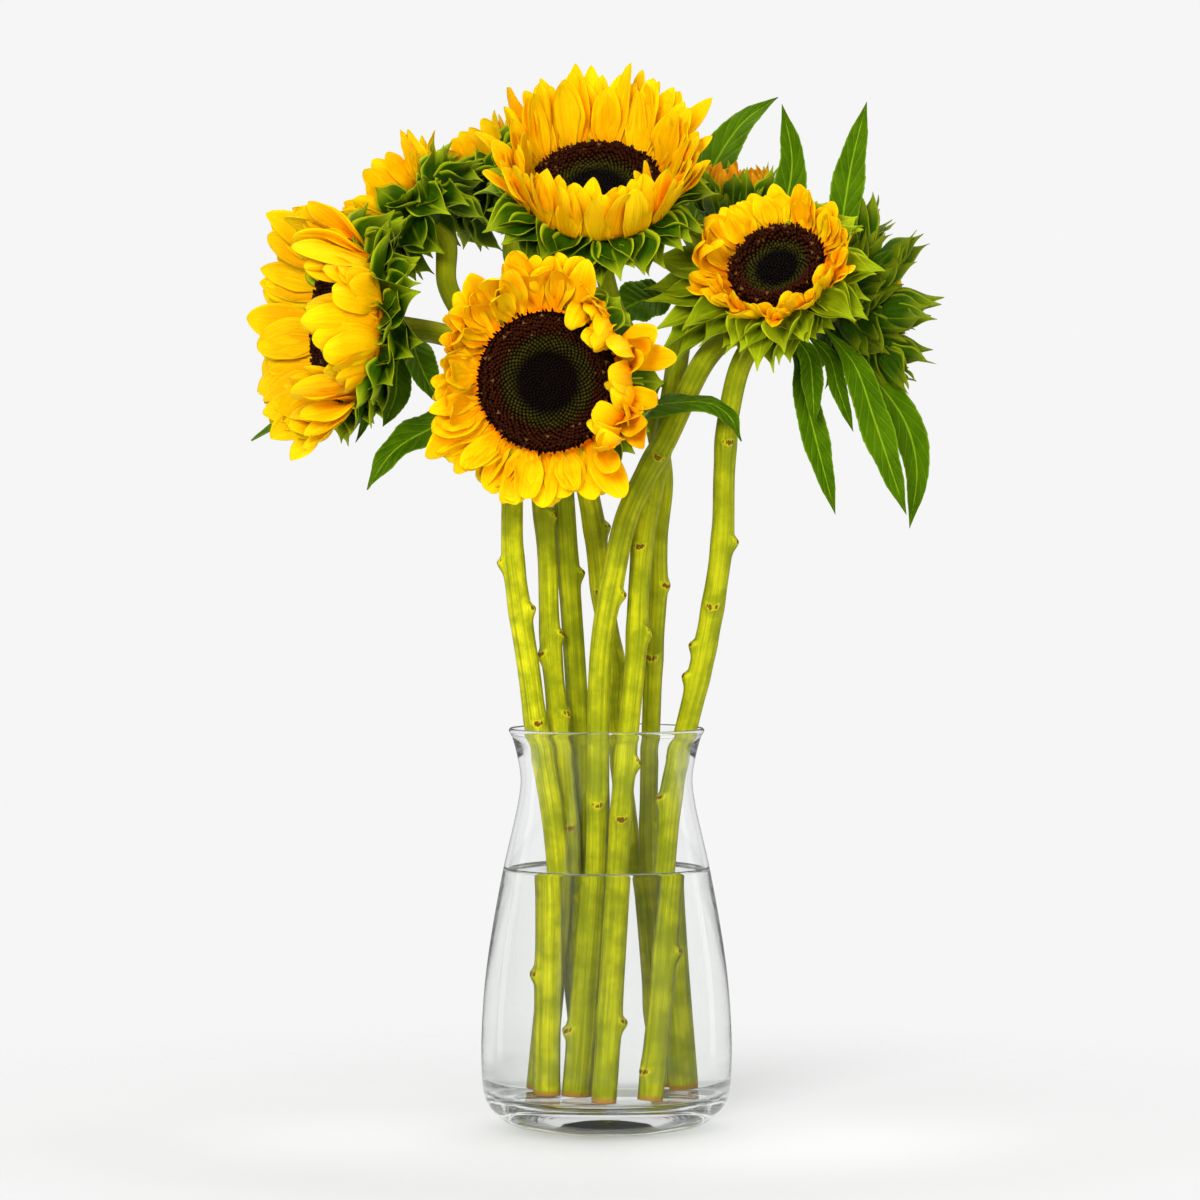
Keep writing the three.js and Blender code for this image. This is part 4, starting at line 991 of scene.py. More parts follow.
def paint_stalk(tree, light, dark, scar):
    """Yellow-green stalk: lighter and darker lengthwise stripes; each stalk as a whole lighter or darker by
    its own draw, partly its own tone and partly painted shade on the stalks further back; painted shade
    high up, under the heads; brown leaf scars, a tan cut foot. Marks: turns round the stalk, height in
    metres, draw of the stalk, scar."""
    turn, height_up, tone, scarred = read_marks(tree)
    angle = times(tree, turn, 2 * math.pi)
    ahead = maths(tree, "MULTIPLY_ADD", height_up, 2.2, times(tree, tone, 31.0))
    place = vector_of(tree, maths(tree, "COSINE", angle), maths(tree, "SINE", angle), ahead)
    stripes = remapped(tree, noise(tree, place, 3.2, 3.0, 0.6), 0.34, 0.66)
    fine = remapped(tree, noise(tree, place, 11.0, 2.0, 0.5), 0.3, 0.7)
    grain = mottling(tree, 1300.0)
    # each stalk lighter or darker by its own draw: partly its own tone, partly painted shade on the stalks
    # further back
    number = maths(tree, "ROUND", times(tree, tone, 8.0))
    draw = put(tree, "ShaderNodeTexWhiteNoise", {"W": number}, noise_dimensions="1D").outputs["Value"]
    ragged = remapped(tree, noise(tree, place, 7.0, 2.0), 0.35, 0.62, 0.5, 1.15)
    scarred = times(tree, scarred, ragged)
    pale = shade(light, 1.35)
    shade_under_heads, down_to_cut = (0.39, 0.46), (0.0225, 0.0195)
    colour = layered(tree, light, [
        (stripes, 0.8, dark), (fine, 0.45, pale), (mottling(tree, 75.0), 0.7, dark), (grain, 0.12, dark),
        (draw, 0.45, dark),
        # painted shade: darker high up, where the stalks pass under the heads
        (remapped(tree, height_up, *shade_under_heads, 0.0, 0.5), 1, dark),
        (remapped(tree, height_up, *down_to_cut), 1, (0.42, 0.2, 0.02)),
        (remapped(tree, scarred, 0.03, 0.3, 0.0, 0.3), 1, pale),
        (remapped(tree, scarred, 0.3, 0.5), 1, scar),
        (remapped(tree, scarred, 0.75, 0.95, 0.0, 0.6), 1, (0.5, 0.25, 0.03)),
    ])
    height = maths(tree, "ADD", times(tree, fine, 0.6), times(tree, grain, 0.25))
    finish(tree, colour, remapped(tree, grain, 0.0, 1.0, 0.36, 0.55), height, 0.0003, 0.7,
           living(0.35, (0.9, 0.95, 0.3), 0.12, (0.5, 0.9, 0.1), 0.002))


def paint_floret(tree, core, ring, rim):
    """Disc florets by how far out they stand: black heart, green-gold ring, red-brown rim with lighter
    tips, and painted highlights on the tips of a few outer florets. Marks: share of the disc's radius,
    share of the floret's height, its draw."""
    share, level, tone, _ = read_marks(tree)
    dark = shade(rim, 0.35)
    foot = ramped(tree, share, [(0.0, core), (0.5, core), (0.66, dark), (1.0, dark)])
    crest = ramped(tree, share, [
        (0.0, shade(core, 2.0)), (0.4, shade(core, 2.2)), (0.54, ring), (0.6, ring), (0.7, rim),
        (0.93, rim), (1.0, dark)])
    # painted highlight: the crests of a few outer florets, drawn at random, lit up in pale orange-brown
    painted_glint = remapped(tree, tone, 0.93, 0.97, 0.0, 0.5)
    outer = times(tree, painted_glint, remapped(tree, share, 0.6, 0.8))
    colour = layered(tree, foot, [
        (remapped(tree, level, 0.35, 0.95), 1, crest), (outer, level, (0.55, 0.24, 0.06)),
        (remapped(tree, tone, 0.0, 1.0, 0.0, 0.35), 1, core),
    ])
    fine = mottling(tree, 1500.0)
    rough = remapped(tree, fine, 0.0, 1.0, 0.55, 0.8)
    finish(tree, colour, rough, fine, 0.0003, 0.6, {"Specular IOR Level": 0.1})


def paint_floor(tree, pale, inner, outer):
    """Pale matt floor, painted lighter near and in front of the vase: a painted pool of light that lifts
    the bouquet's shade there. It fades out far from the vase, so that it has no edge, and under the
    vase's foot, so that the thick glass there stays as light as the backdrop."""
    shader = main_shader(tree, {"Roughness": 0.9, "Specular IOR Level": 0.05})
    place = object_place(tree)
    away = put(tree, "ShaderNodeVectorMath", {0: place}, operation="LENGTH").outputs["Value"]
    foot_edge = (0.0395, 0.0425)
    seen = times(tree, remapped(tree, away, inner, outer, 1.0, 0.0), remapped(tree, away, *foot_edge))
    tree.links.new(seen, shader.inputs["Alpha"])
    # painted light: the floor is paler near the vase and in front of it, lifting the shade cast there
    near = remapped(tree, away, 0.1, 0.32, 1.0, 0.0)
    front = times(tree, remapped(tree, three_parts(tree, place)[1], 0.14, -0.16), near)
    colour = mixed(tree, noise(tree, place, 3.0, 2.0), pale, shade(pale, 0.995))
    colour = mixed(tree, front, colour, shade(pale, 1.28))
    tree.links.new(colour, shader.inputs["Base Color"])


# ------------------------------------------------------------------ settings


def colour_setting(name, description, default):
    """A colour that a user may change."""
    return bpy.props.FloatVectorProperty(
        name=name, description=description, default=default, subtype="COLOR", size=3, min=0, max=1)


def length_setting(name, description, default):
    """A length in metres that a user may change."""
    return bpy.props.FloatProperty(
        name=name, description=description, default=default, unit="LENGTH", subtype="DISTANCE")


def colours(settings, *keys):
    """Colours of the settings as plain tuples."""
    return [tuple(getattr(settings, key)) for key in keys]


class SUNFLOWER_PG_vase(bpy.types.PropertyGroup):
    """Sizes and colours of the glass and the water."""

    sides: bpy.props.IntProperty(name="Sides", description="Facets round the glass", default=160, min=24)
    tint: colour_setting("Tint", "Colour of the glass", (0.985, 0.992, 0.99))
    water_tint: colour_setting("Water Tint", "Colour of the water", (0.985, 0.99, 0.98))
    overlap: length_setting("Overlap", "How far the water reaches into the glass", 0.00015)


class SUNFLOWER_PG_green(bpy.types.PropertyGroup):
    """Sizes and colours of stalks, leaves and bracts."""

    stalk_light: colour_setting("Stalk Light", "Lighter stripes of a stalk", (0.64, 0.61, 0.008))
    stalk_dark: colour_setting("Stalk Dark", "Darker stripes of a stalk", (0.15, 0.19, 0.003))
    scar: colour_setting("Scar", "Leaf scars on a stalk", (0.15, 0.055, 0.008))
    leaf_face: colour_setting("Leaf Face", "Lighter patches of a leaf", (0.057, 0.13, 0.0006))
    leaf_deep: colour_setting("Leaf Deep", "Darker patches of a leaf", (0.024, 0.072, 0.0005))
    leaf_vein: colour_setting("Leaf Vein", "Midrib and veins", (0.24, 0.38, 0.01))
    leaf_under: colour_setting("Leaf Underside", "Underside of a leaf", (0.14, 0.25, 0.008))
    bract_face: colour_setting("Bract Face", "Face of a bract", (0.055, 0.14, 0.0008))
    bract_deep: colour_setting("Bract Deep", "Darker parts of a bract", (0.012, 0.045, 0.0005))
    bract_rim: colour_setting("Bract Rim", "Pale edge and tip of a bract", (0.50, 0.60, 0.01))
    leaf_thickness: length_setting("Leaf Thickness", "Thickness of a leaf blade", 0.0007)


class SUNFLOWER_PG_head(bpy.types.PropertyGroup):
    """Sizes and colours of rays and discs."""

    ray_root: colour_setting("Ray Root", "Colour of a ray at the disc", (1.0, 0.24, 0.0))
    ray_body: colour_setting("Ray Body", "Colour along a ray", (1.0, 0.47, 0.0))
    ray_tip: colour_setting("Ray Tip", "Colour of tips and edges", (1.0, 0.7, 0.003))
    ray_thickness: length_setting("Ray Thickness", "Thickness of a ray", 0.0006)
    core: colour_setting("Disc Core", "Middle of the disc", (0.0016, 0.0011, 0.0009))
    band: colour_setting("Disc Band", "Green-gold band of the disc", (0.045, 0.042, 0.004))
    rim: colour_setting("Disc Rim", "Outer florets of the disc", (0.042, 0.008, 0.002))
    floret_step: length_setting("Floret Step", "Distance between florets", 0.0019)


class SUNFLOWER_PG_stage(bpy.types.PropertyGroup):
    """Camera, floor and backdrop."""

    camera_distance: length_setting("Camera Distance", "From the vase axis to the camera", 3.1)
    camera_height: length_setting("Camera Height", "Height of the camera", 0.389)
    camera_side: length_setting("Camera Side", "Sideways place of the camera", -0.0038)
    camera_pitch: bpy.props.FloatProperty(
        name="Camera Pitch", description="Angle of the view below the horizon", default=1.52 * DEG,
        subtype="ANGLE", unit="ROTATION")
    lens: bpy.props.FloatProperty(name="Lens", description="Focal length in millimetres", default=160.3)
    floor_colour: colour_setting("Floor", "Colour of the floor", (0.71, 0.71, 0.71))
    backdrop: colour_setting("Backdrop", "Colour seen behind the object", (0.92, 0.92, 0.92))


class SUNFLOWER_PG_all(bpy.types.PropertyGroup):
    """All settings of the bouquet."""

    vase: bpy.props.PointerProperty(type=SUNFLOWER_PG_vase, name="Vase", description="Glass and water")
    green: bpy.props.PointerProperty(
        type=SUNFLOWER_PG_green, name="Green", description="Stalks, leaves and bracts")
    head: bpy.props.PointerProperty(type=SUNFLOWER_PG_head, name="Heads", description="Rays and discs")
    stage: bpy.props.PointerProperty(
        type=SUNFLOWER_PG_stage, name="Stage", description="Camera, floor and backdrop")


# ------------------------------------------------------------------ operators


class SUNFLOWER_OT_glass(bpy.types.Operator):
    """Blow the clear vase: a smooth profile through the wall's sizes, turned round the axis"""

    bl_idname = "sunflower.glass"
    bl_label = "Vase Glass"

    def execute(self, context):
        vase = context.scene.sunflowers.vase
        # the polished lip between the outer and the inner wall, and the hollow under the foot
        lip = [(56.6, 231.8), (55.9, 232.5), (55.4, 231.9), (54.6, 229.8), (53.2, 226.4), (50.5, 220)]
        wall = smooth_line(VASE_OUTER[:-1] + lip + VASE_INNER[2:], 12)
        punt = [(0, 1.4), (24, 1.3), (36, 0.9), (40.5, 0.1), (42, 0)]
        profile = np.vstack([punt, wall, [(30, GLASS_FLOOR), (0, GLASS_FLOOR)]])
        material = made_once("Clear Glass", paint_clear, tuple(vase.tint), GLASS_IOR, 0.8)
        make_piece("vase_glass", turned(profile, vase.sides), material, ["vase"])
        return {"FINISHED"}


class SUNFLOWER_OT_water(bpy.types.Operator):
    """Fill the vase: the inner wall up to the water line, with a raised rim where it meets the glass"""

    bl_idname = "sunflower.water"
    bl_label = "Water"

    def execute(self, context):
        vase = context.scene.sunflowers.vase
        reach = vase.overlap / MM
        wall = smooth_line(VASE_OUTER + VASE_INNER, 6)[len(VASE_OUTER) * 6:]
        wet = wall[wall[:, 1] < WATER_TOP - 0.5][::-1] + np.array([reach, 0])
        edge = np.interp(WATER_TOP, wet[:, 1], wet[:, 0])
        foot = GLASS_FLOOR - reach
        wet[0, 1] = foot
        # distance from the glass, rise above the water line
        rise = np.array([(0, 1.7), (0.35, 1.0), (0.9, 0.5), (1.8, 0.2), (3.2, 0.05), (5, 0)])
        top = np.vstack([[edge, WATER_TOP] + rise * [-1, 1], [(edge * 0.5, WATER_TOP), (0, WATER_TOP)]])
        profile = np.vstack([[(0, foot), (24, foot)], wet, top])
        material = made_once("Clear Water", paint_clear, tuple(vase.water_tint), WATER_IOR, 0.0)
        make_piece("vase_water", turned(profile, vase.sides), material, ["water"])
        return {"FINISHED"}


def stalk_surface(number):
    """A stalk: circles carried along its centre line. The radius has low lengthwise ridges (cosines of
    nine and seventeen turns), a slow swelling, a flare under the head, and at each leaf scar a knob
    that falls off as a bell, sharply above and slowly below, on a low swelling all round."""
    diameter, _, scars = STALKS[number]
    line = stalk_line(number)
    length = np.linalg.norm(np.diff(line, axis=0), axis=1).sum()
    share = np.linspace(0, 1, int(length / STALK_STEP))
    centre, along = walk(line, share)
    level = unit(np.cross(facing_of(number), UP))
    side = unit(level - (along @ level)[:, None] * along)
    other = np.cross(along, side)
    s, a = share[:, None], circle(STALK_SIDES)[None]
    ridges = 0.02 * np.cos(9 * a + 1.5 * s + number) + 0.011 * np.cos(17 * a - 3 * s)
    swell = 0.03 * np.sin(9 * s + number) + 0.16 * soft_step(s, 0.94, 1)
    radius = diameter / 2 * (1 + ridges + swell)
    scarred = np.zeros_like(radius)
    for height, direction in scars:
        at = np.argmin(np.abs(centre[:, 2] - height))
        pointing = outward(direction * DEG)
        towards = math.atan2(pointing @ other[at], pointing @ side[at])
        apart = (share - share[at])[:, None] * length
        beside = ((a - towards + math.pi) % (2 * math.pi) - math.pi) * diameter / 2
        fall = np.where(apart > 0, KNOB_ABOVE, KNOB_BELOW)
        bent = apart - 0.3 * np.abs(beside) ** 1.5
        knob = np.exp(-np.abs(bent / fall) ** 2.2 - np.abs(beside / KNOB_ASIDE) ** 2.4)
        radius = radius + KNOB_HEIGHT * knob + SCAR_SWELL * np.exp(-((apart / SCAR_REACH) ** 2))
        rough = 0.75 + 0.25 * np.sin(2.1 * beside + height) * np.cos(1.7 * apart + direction)
        scarred = np.maximum(scarred, rough * knob * soft_step(bent, -2.8, -0.4))
    spokes = np.cos(a)[..., None] * side[:, None] + np.sin(a)[..., None] * other[:, None]
    cut, brown = np.array(CUT_FOOT).T[..., None]
    foot = centre[:1, None] + cut[..., None] * radius[:1, :, None] * spokes[:1]
    rings = np.concatenate([foot, centre[:, None] + radius[..., None] * spokes])[None]
    marks = marked(radius.shape, a / (2 * math.pi), centre[:, 2:] * MM, number / len(STALKS), scarred)
    foot_marks = np.repeat(marks[:1], len(CUT_FOOT), 0)
    foot_marks[..., 3] = brown
    marks = np.concatenate([foot_marks, marks])[None]
    verts = tube_vertices(centre[:1], rings, centre[-1:])
    marks = tube_vertices(marks[:, 0, 0], marks, marks[:, -1, 0])
    return tube_shape(verts, marks, rings.shape[1], STALK_SIDES)


class SUNFLOWER_OT_stalks(bpy.types.Operator):
    """Grow the eight stalks from the vase floor to their heads"""

    bl_idname = "sunflower.stalks"
    bl_label = "Stalks"

    def execute(self, context):
        green = context.scene.sunflowers.green
        material = made_once(
            "Stalk Skin", paint_stalk, *colours(green, "stalk_light", "stalk_dark", "scar"))
        for number in STALKS:
            make_piece(f"stalk_{number}", stalk_surface(number), material, [f"stem_{number}"])
        return {"FINISHED"}


def leaf_surface(number, thickness):
    """A leaf blade: across its midrib it reaches half its width, with small forward teeth, a saw of
    even steps; its edges lift by the fold and wave up and down, it puffs between its side veins,
    and the midrib is a groove above and a rib below that thins towards the tip."""
    stalk, share, way_out, width, fold, facing, points = LEAVES[number]
    root, stem_along = walk(stalk_line(stalk), np.array([share]))
    out = np.array(way_out, float)
    out = unit(out - (out @ stem_along[0]) * stem_along[0])
    radius = STALKS[stalk][0] / 2
    foot = [root[0] + out * (radius + distance) for distance in LEAF_FOOT]
    line = smooth_line(np.vstack([foot, np.array(points, float)]))
    along = 1 - (1 - np.linspace(0, 0.997, LEAF_RINGS)) ** 1.08
    centre, tangent = walk(line, along)
    side = unit(np.cross(tangent, unit(np.array(facing, float))))
    normal = np.cross(side, tangent)
    around = circle(LEAF_SIDES)
    across, over = np.cos(around)[None], np.sin(around)[None]
    u = along[:, None]
    outline = np.maximum(curve_value(along, LEAF_STATIONS, LEAF_WIDTHS), 0.01)[:, None]
    teeth = (TEETH * u + 0.4 * spread(number, 3)) % 1
    teeth = teeth * soft_step(u, 0.2, 0.3) * soft_step(-u, -0.97, -0.9)
    half = width / 2 * outline * (1 + 0.05 * teeth * np.abs(across) ** 2)
    lift = curve_value(along, LEAF_STATIONS, LEAF_LIFTS)[:, None]
    blade = soft_step(u, 0.06, 0.2)
    height = blade * fold * half * np.abs(across) ** 1.3 - EDGE_WAVE * lift * np.sign(across) * across**2
    veins = np.abs(np.sin(math.pi * (SIDE_VEINS * u - VEIN_SLANT * np.abs(across) ** 0.8)))
    height = height + PUFF * blade * veins * (1 - across**4) * outline
    away = across * half
    height = height - GROOVE_DEPTH * blade * np.exp(-((away / GROOVE_WIDTH) ** 2))
    rib = (RIB_AT_TIP + RIB_GAIN * (1 - u)) * np.exp(-((away / RIB_WIDTH) ** 2)) * (over < 0)
    body = thickness / 2 * (0.35 + 0.65 * blade) + 0.8 * (1 - blade)
    height = height + over * (body + rib)
    rings = centre[:, None] + side[:, None] * (half * across)[..., None]
    rings = (rings + normal[:, None] * height[..., None])[None]
    marks = marked(height.shape, across, u, number / len(LEAVES), np.sign(over))[None]
    return tube_shape(closed_tube(rings), closed_tube(marks), LEAF_RINGS, LEAF_SIDES)


class SUNFLOWER_OT_leaves(bpy.types.Operator):
    """Grow the fifteen leaves on their stalks"""

    bl_idname = "sunflower.leaves"
    bl_label = "Leaves"

    def execute(self, context):
        green = context.scene.sunflowers.green
        material = made_once("Leaf Green", paint_leaf, *colours(
            green, "leaf_face", "leaf_deep", "leaf_vein", "leaf_under"))
        for number in LEAVES:
            shape = leaf_surface(number, green.leaf_thickness / MM)
            make_piece(f"leaf_blade_{number:02d}", shape, material, [f"leaf_{number:02d}"])
        return {"FINISHED"}


def bract_shape(number):
    """The green cup of a head, a turned bowl with its rim under the rays, and its bracts."""
    disc, neck = FLOWERS[number]["disc"], STALKS[number][0] / 2 + 1.2
    rim, lowest, inside = disc + CUP_OUT, -HEAD_DEPTH - 1.5, -0.5
    bowl = [(neck * 0.9, lowest), (neck * 1.04, -HEAD_DEPTH), (max(rim * BOWL_SHARE, neck + 1), BOWL_LOW),
            (rim, CUP_TOP - CUP_WALL), (rim, CUP_TOP)]
    floor = [(disc * 0.7, CUP_TOP), (disc * 0.7, inside), (0, inside)]
    profile = np.vstack([[(0, lowest)], smooth_line(bowl, 5), floor])
    parts = [turned(profile, CUP_SIDES, (0.55, 0.45, 0.3, 1))]
    for filler in range(BRACT_LOOKS[number][1] + 1):
        rules = blade_rules(number, "bracts", filler)
        item, series = rules["item"][:, None], rules["series"]
        blades = blade_surfaces(
            rules, bract_outline, bract_relief, 0.8, 30 * spread(item, series + 10) - 22,
            30 * spread(item, series + 11))
        parts += [blades, edge_hairs(blades[0], len(item))]
    return placed(joined(parts), number)


class SUNFLOWER_OT_bracts(bpy.types.Operator):
    """Make the green cup and bracts behind each head"""

    bl_idname = "sunflower.bracts"
    bl_label = "Cups and Bracts"

    def execute(self, context):
        green = context.scene.sunflowers.green
        face, deep, rim = colours(green, "bract_face", "bract_deep", "bract_rim")
        material = made_once("Bract Green", paint_bract, face, deep, rim)
        special = {
            PALE_BRACT_HEAD: made_once("Young Bract Green", paint_bract, *PALE_BRACTS, rim),
            DEEP_HEAD: made_once("Deep Bract Green", paint_bract, *DEEP_BRACTS, shade(rim, 0.5)),
        }
        for number in FLOWERS:
            make_piece(f"bracts_{number}", bract_shape(number), special.get(number, material),
                       [f"flower_{number}_calyx"])
        return {"FINISHED"}


def ray_shape(number, thickness):
    """The rays of a head on the ring that carries them."""
    disc, (_, fillers, pointed, unruly, _) = FLOWERS[number]["disc"], RAY_LOOKS[number]
    outer, inner = disc + RING_OUT, disc * 0.8
    profile = [(0, -0.9), (inner, -0.9), (inner, RING_TOP), (outer - 1, RING_TOP), (outer, -1),
               (outer, -4.6), (outer - 1, RING_BASE), (inner, RING_BASE), (inner, -1.6), (0, -1.6)]
    parts = [turned(profile, CUP_SIDES, (0.5, 0, 0.5, 1))]
    for filler in range(fillers + 1):
        rules = blade_rules(number, "petals", filler)
        item, series = rules["item"], rules["series"]
        twist = (12 + 20 * unruly) * spread(item, series + 11)
        for low, high, turn in RAY_TURNS.get(number, ()):
            twist = twist + turn * in_sector(rules["azimuth"] / DEG, low, high)
        rules["point"] = pointed
        rules["length"] = rules["length"] * (1 - 0.05 * filler)
        rules["lift"] = rules["lift"] + 4 * filler
        hook = 28 * unruly * spread(item, series + 10)
        parts.append(blade_surfaces(
            rules, petal_outline, petal_relief, thickness, hook[:, None], twist[:, None]))
    return placed(joined(parts), number)


class SUNFLOWER_OT_rays(bpy.types.Operator):
    """Make the yellow rays of each head"""

    bl_idname = "sunflower.rays"
    bl_label = "Rays"

    def execute(self, context):
        head = context.scene.sunflowers.head
        golden = made_once("Golden Ray", paint_ray, *colours(head, "ray_root", "ray_body", "ray_tip"))
        dull = made_once("Dull Ray", paint_ray, *DULL_RAYS)
        for number in FLOWERS:
            material, slot = (dull, "petal_dull") if number == DULL_HEAD else (golden, "petal")
            shape = ray_shape(number, head.ray_thickness / MM)
            make_piece(f"rays_{number}", shape, material, [f"flower_{number}_petals"])
        return {"FINISHED"}


def dome_height(share):
    """Height of a disc: a raised band near the rim, half a sine wave, and a low rise at the middle."""
    band = np.sin(np.pi * np.clip((1 - share) * 2.2 + 0.12, 0, 1))
    return DOME_LOW + DOME_BAND * band + DOME_MIDDLE * (1 - soft_step(share, 0, 0.5))


def floret_shape(number, step):
    """Florets on a disc: number i stands at the root of i's share of the radius and at i times the
    golden angle. Each is a six-sided bud of three rings and a tip; further out it is longer, leans
    outwards and opens into a star, and at the rim it is a bristle."""
    disc = FLOWERS[number]["disc"]
    base_share = np.linspace(1, 0, 14)
    base_radius = disc - BASE_INSET
    base = np.stack([base_share * base_radius, dome_height(base_share) - BASE_BELOW], -1)
    profile = np.vstack([[(0, 0), (base_radius, 0)], base])
    parts = [turned(profile, DISC_SIDES, (0.8, 0, 0.5, 1))]
    count = int(math.pi * disc**2 / step**2)
    i = np.arange(count)
    share = np.sqrt((i + 0.5) / count)
    open_up = soft_step(share, 0.62, 0.78)
    tall = FLORET_HEIGHT + 0.6 * soft_step(share, 0.45, 0.55)
    tall = tall + 1.1 * open_up - 0.4 * soft_step(share, 0.9, 1)
    tall = tall * (1 + (0.22 + 0.2 * soft_step(share, 0.6, 1)) * spread(i, number + 40))
    lean = (4 + 14 * soft_step(share, 0.5, 0.9) + 14 * soft_step(share, 0.93, 1)) * DEG
    lean = lean + (7 + 9 * soft_step(share, 0.6, 1)) * DEG * spread(i, number + 41)
    lean = lean[:, None]
    out = outward(i * GOLDEN_ANGLE * DEG)
    axis = out * np.sin(lean) + UP * np.cos(lean)
    flat = out * np.cos(lean) - UP * np.sin(lean)
    height = dome_height(share) - ROOT_BELOW
    root = out * (share * (disc - ROOT_INSET))[:, None] + UP * height[:, None]
    angle = circle(6)
    star = np.array([1.5, 0.45] * 3)
    levels = np.array([0.0, 0.6, 0.88])
    # radius at each level of a closed bud, an open floret and a bristle, in steps between florets
    bud, flared, bristle = np.array([[0.5, 0.52, 0.3], [0.38, 0.4, 0.62], [0.5, 0.36, 0.16]])
    opened, at_rim = open_up[:, None], soft_step(share, 0.9, 0.95)[:, None]
    radius = bud * (1 - opened) + flared * opened
    radius = radius * (1 - at_rim) + bristle * at_rim
    pointed = (opened * np.array([0, 0.2, 1]))[..., None]
    ring = radius[:, :, None] * (1 + (star - 1)[None, None] * pointed) * step
    rings = root[:, None, None] + axis[:, None, None] * (tall[:, None] * levels)[:, :, None, None]
    rings = rings + (ring * np.cos(angle))[..., None] * flat[:, None, None]
    rings = rings + (ring * np.sin(angle))[..., None] * quarter_turned(out)[:, None, None]
    tip = root + axis * (tall * (1 - 0.22 * open_up))[:, None]
    tone = 0.5 + 0.5 * spread(i, number + 42)
    marks = marked(rings.shape[:3], share[:, None, None], levels[None, :, None], tone[:, None, None], 1)
    ends = np.stack([share, 0 * share, tone, 1 + 0 * share], -1)
    marks = tube_vertices(ends, marks, ends + np.array([0, 1, 0, 0]))
    parts.append(tube_shape(tube_vertices(root, rings, tip), marks, len(levels), len(angle)))
    return placed(joined(parts), number)


class SUNFLOWER_OT_florets(bpy.types.Operator):
    """Set the florets on each disc"""

    bl_idname = "sunflower.florets"
    bl_label = "Disc Florets"

    def execute(self, context):
        head = context.scene.sunflowers.head
        material = made_once("Disc Floret", paint_floret, *colours(head, "core", "band", "rim"))
        for number in FLOWERS:
            shape = floret_shape(number, head.floret_step / MM)
            make_piece(f"florets_{number}", shape, material, [f"flower_{number}_disc"])
        return {"FINISHED"}


def add_light(name, place, aim, size, watts):
    """A soft square light at a place, turned towards a point. Nothing mirrors it or shows it through."""
    data = bpy.data.lights.new(name, "AREA")
    data.size = size
    data.energy = watts
    light = bpy.data.objects.new(name, data)
    bpy.context.scene.collection.objects.link(light)
    light.location = place
    light.visible_glossy = False
    light.visible_transmission = False
    x, y, z = np.array(aim, float) - np.array(place, float)
    light.rotation_euler = (math.atan2(math.hypot(x, y), -z), 0, math.atan2(y, x) - math.pi / 2)


def surround(world, backdrop, ambient, mirrored):
    """A pale surround. The camera sees the plain backdrop, also through clear glass, where only what
    is bent far upwards meets the dark of the room. Matt surfaces get even light. What a surface
    mirrors is a dim room, lighter above, with a bright window to the left, a fainter one to the right
    and a low stripe behind on either side, which keeps colours deep and gives glass its edges."""
    world.use_nodes = True
    tree = world.node_tree
    x, y, z = three_parts(tree, put(tree, "ShaderNodeTexCoord").outputs["Generated"])
    beside, level = maths(tree, "ABSOLUTE", x), maths(tree, "ABSOLUTE", z)
    window = band(tree, x, (-0.5, -0.56), (-0.78, -0.72))
    second = band(tree, x, (0.66, 0.72), (0.9, 0.84))
    lit = maths(tree, "MULTIPLY_ADD", second, 0.35, window)
    lit = times(tree, lit, remapped(tree, level, 0.8, 0.6))
    lit = times(tree, lit, remapped(tree, y, 0.1, 0.5, 1.0, 0.06))
    stripe = band(tree, beside, (0.85, 0.875), (0.945, 0.925))
    stripe = times(tree, stripe, remapped(tree, y, 0.1, 0.25, 0.0, 0.5))
    stripe = times(tree, stripe, remapped(tree, level, 0.4, 0.3))
    above = times(tree, remapped(tree, z, 0.55, 0.9), 0.55)
    lit = maths(tree, "MAXIMUM", maths(tree, "MAXIMUM", lit, stripe), above)
    rays = put(tree, "ShaderNodeLightPath").outputs
    dim = remapped(tree, rays["Ray Depth"], 1.2, 1.8, mirrored, 0.3)
    dim = maths(tree, "MAXIMUM", dim, remapped(tree, y, 0.5, 0.95, 0.0, 0.14))
    room = maths(tree, "MAXIMUM", times(tree, lit, 3.2), dim)
    through = mixed(tree, remapped(tree, z, 0.38, 0.08), (0.12, 0.13, 0.12), backdrop)
    colour = layered(tree, (ambient,) * 3, [
        (rays["Is Glossy Ray"], 1, room), (rays["Is Transmission Ray"], 1, through),
        (rays["Is Camera Ray"], 1, backdrop),
    ])
    background = tree.nodes["Background"]
    tree.links.new(colour, background.inputs["Color"])
    background.inputs["Strength"].default_value = 1.0


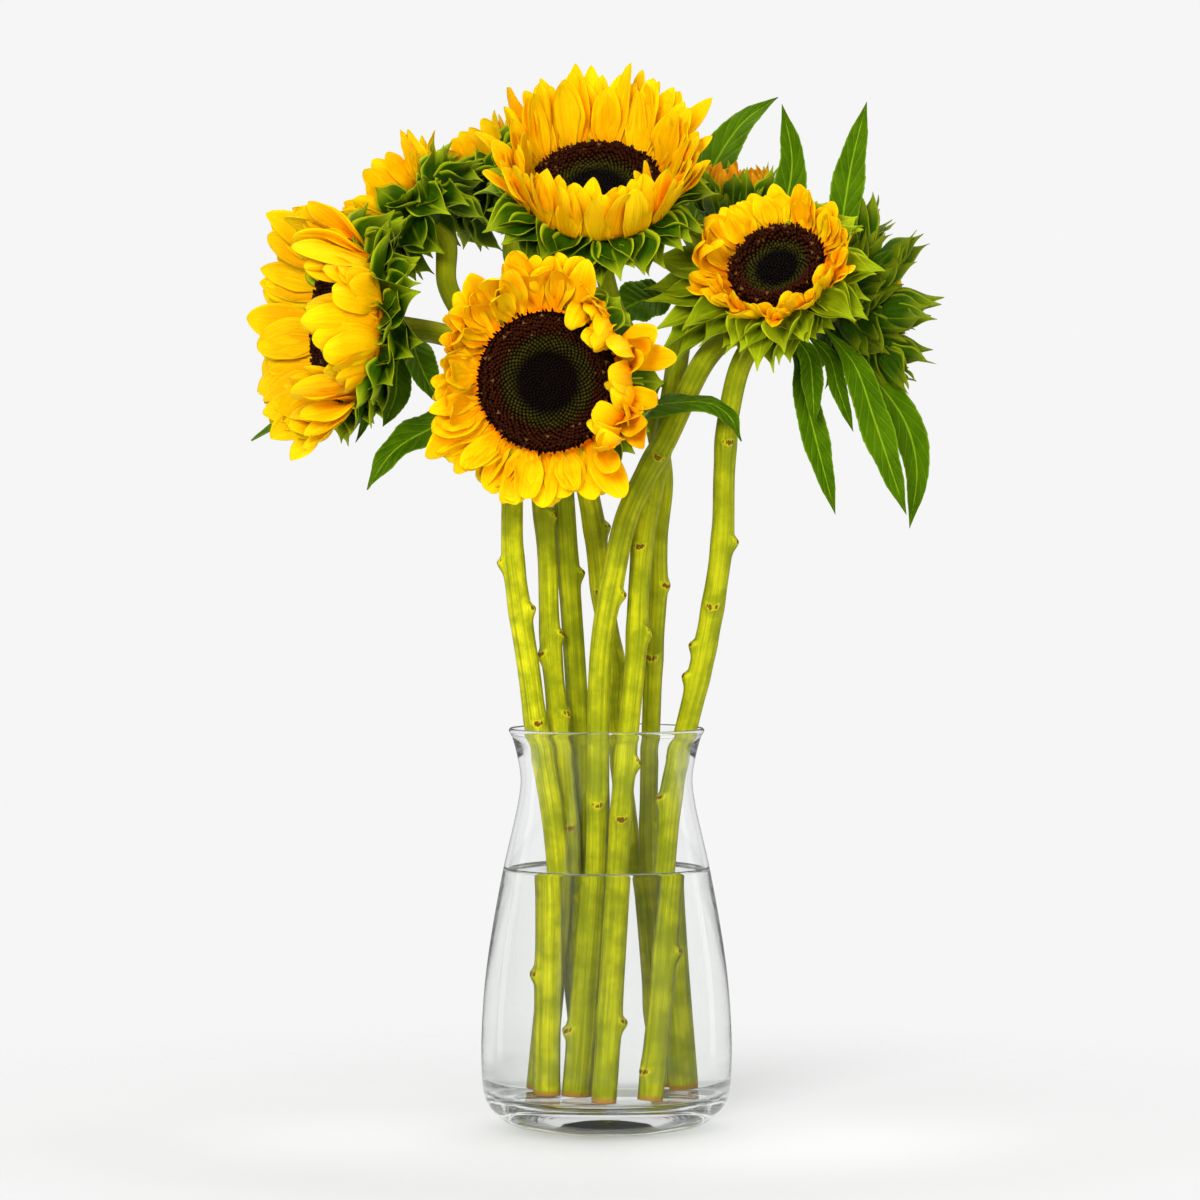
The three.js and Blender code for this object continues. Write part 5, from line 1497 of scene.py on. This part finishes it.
class SUNFLOWER_OT_stage(bpy.types.Operator):
    """Set up the pale floor, the soft lights and the camera"""

    bl_idname = "sunflower.stage"
    bl_label = "Stage"

    def execute(self, context):
        scene = context.scene
        stage = scene.sunflowers.stage
        bpy.ops.mesh.primitive_circle_add(
            vertices=96, radius=FLOOR_RADIUS, fill_type="TRIFAN", location=(0, 0, -FLOOR_DROP))
        floor = context.object
        floor.name = "floor"
        floor.data.materials.append(
            made_once("Pale Floor", paint_floor, tuple(stage.floor_colour), *FLOOR_FADE))
        scene.world = bpy.data.worlds.new("Surround")
        surround(scene.world, tuple(stage.backdrop), 0.52, 0.05)
        for light in LIGHTS:
            add_light(*light)
        data = bpy.data.cameras.new("Camera")
        data.sensor_width = 36
        data.lens = stage.lens
        data.clip_end = 100
        camera = bpy.data.objects.new("Camera", data)
        scene.collection.objects.link(camera)
        camera.location = (stage.camera_side, -stage.camera_distance, stage.camera_height)
        camera.rotation_euler = (math.pi / 2 - stage.camera_pitch, 0, 0)
        scene.camera = camera
        scene.view_settings.view_transform = "Standard"
        for kind in ("max_bounces", "glossy_bounces", "transmission_bounces"):
            setattr(scene.cycles, kind, BOUNCES)
        return {"FINISHED"}


STEPS = (
    SUNFLOWER_OT_glass, SUNFLOWER_OT_water, SUNFLOWER_OT_stalks, SUNFLOWER_OT_leaves,
    SUNFLOWER_OT_bracts, SUNFLOWER_OT_rays, SUNFLOWER_OT_florets, SUNFLOWER_OT_stage,
)


class SUNFLOWER_PT_panel(bpy.types.Panel):
    """Lists the steps that build the bouquet, with their settings."""

    bl_idname = "SUNFLOWER_PT_panel"
    bl_label = "Sunflowers in a Vase"
    bl_space_type = "VIEW_3D"
    bl_region_type = "UI"
    bl_category = "Sunflowers"

    def draw(self, context):
        for step in STEPS:
            self.layout.operator(step.bl_idname)
        settings = context.scene.sunflowers
        for group in (settings.vase, settings.green, settings.head, settings.stage):
            box = self.layout.box()
            for key in group.__annotations__:
                box.prop(group, key)


CLASSES = (
    SUNFLOWER_PG_vase, SUNFLOWER_PG_green, SUNFLOWER_PG_head, SUNFLOWER_PG_stage, SUNFLOWER_PG_all,
    *STEPS, SUNFLOWER_PT_panel,
)


def register():
    for entry in CLASSES:
        bpy.utils.register_class(entry)
    bpy.types.Scene.sunflowers = bpy.props.PointerProperty(type=SUNFLOWER_PG_all)


def unregister():
    del bpy.types.Scene.sunflowers
    for entry in reversed(CLASSES):
        bpy.utils.unregister_class(entry)


def main():
    register()
    bpy.ops.sunflower.glass()
    bpy.ops.sunflower.water()
    bpy.ops.sunflower.stalks()
    bpy.ops.sunflower.leaves()
    bpy.ops.sunflower.bracts()
    bpy.ops.sunflower.rays()
    bpy.ops.sunflower.florets()
    bpy.ops.sunflower.stage()


if __name__ == "__main__":
    main()
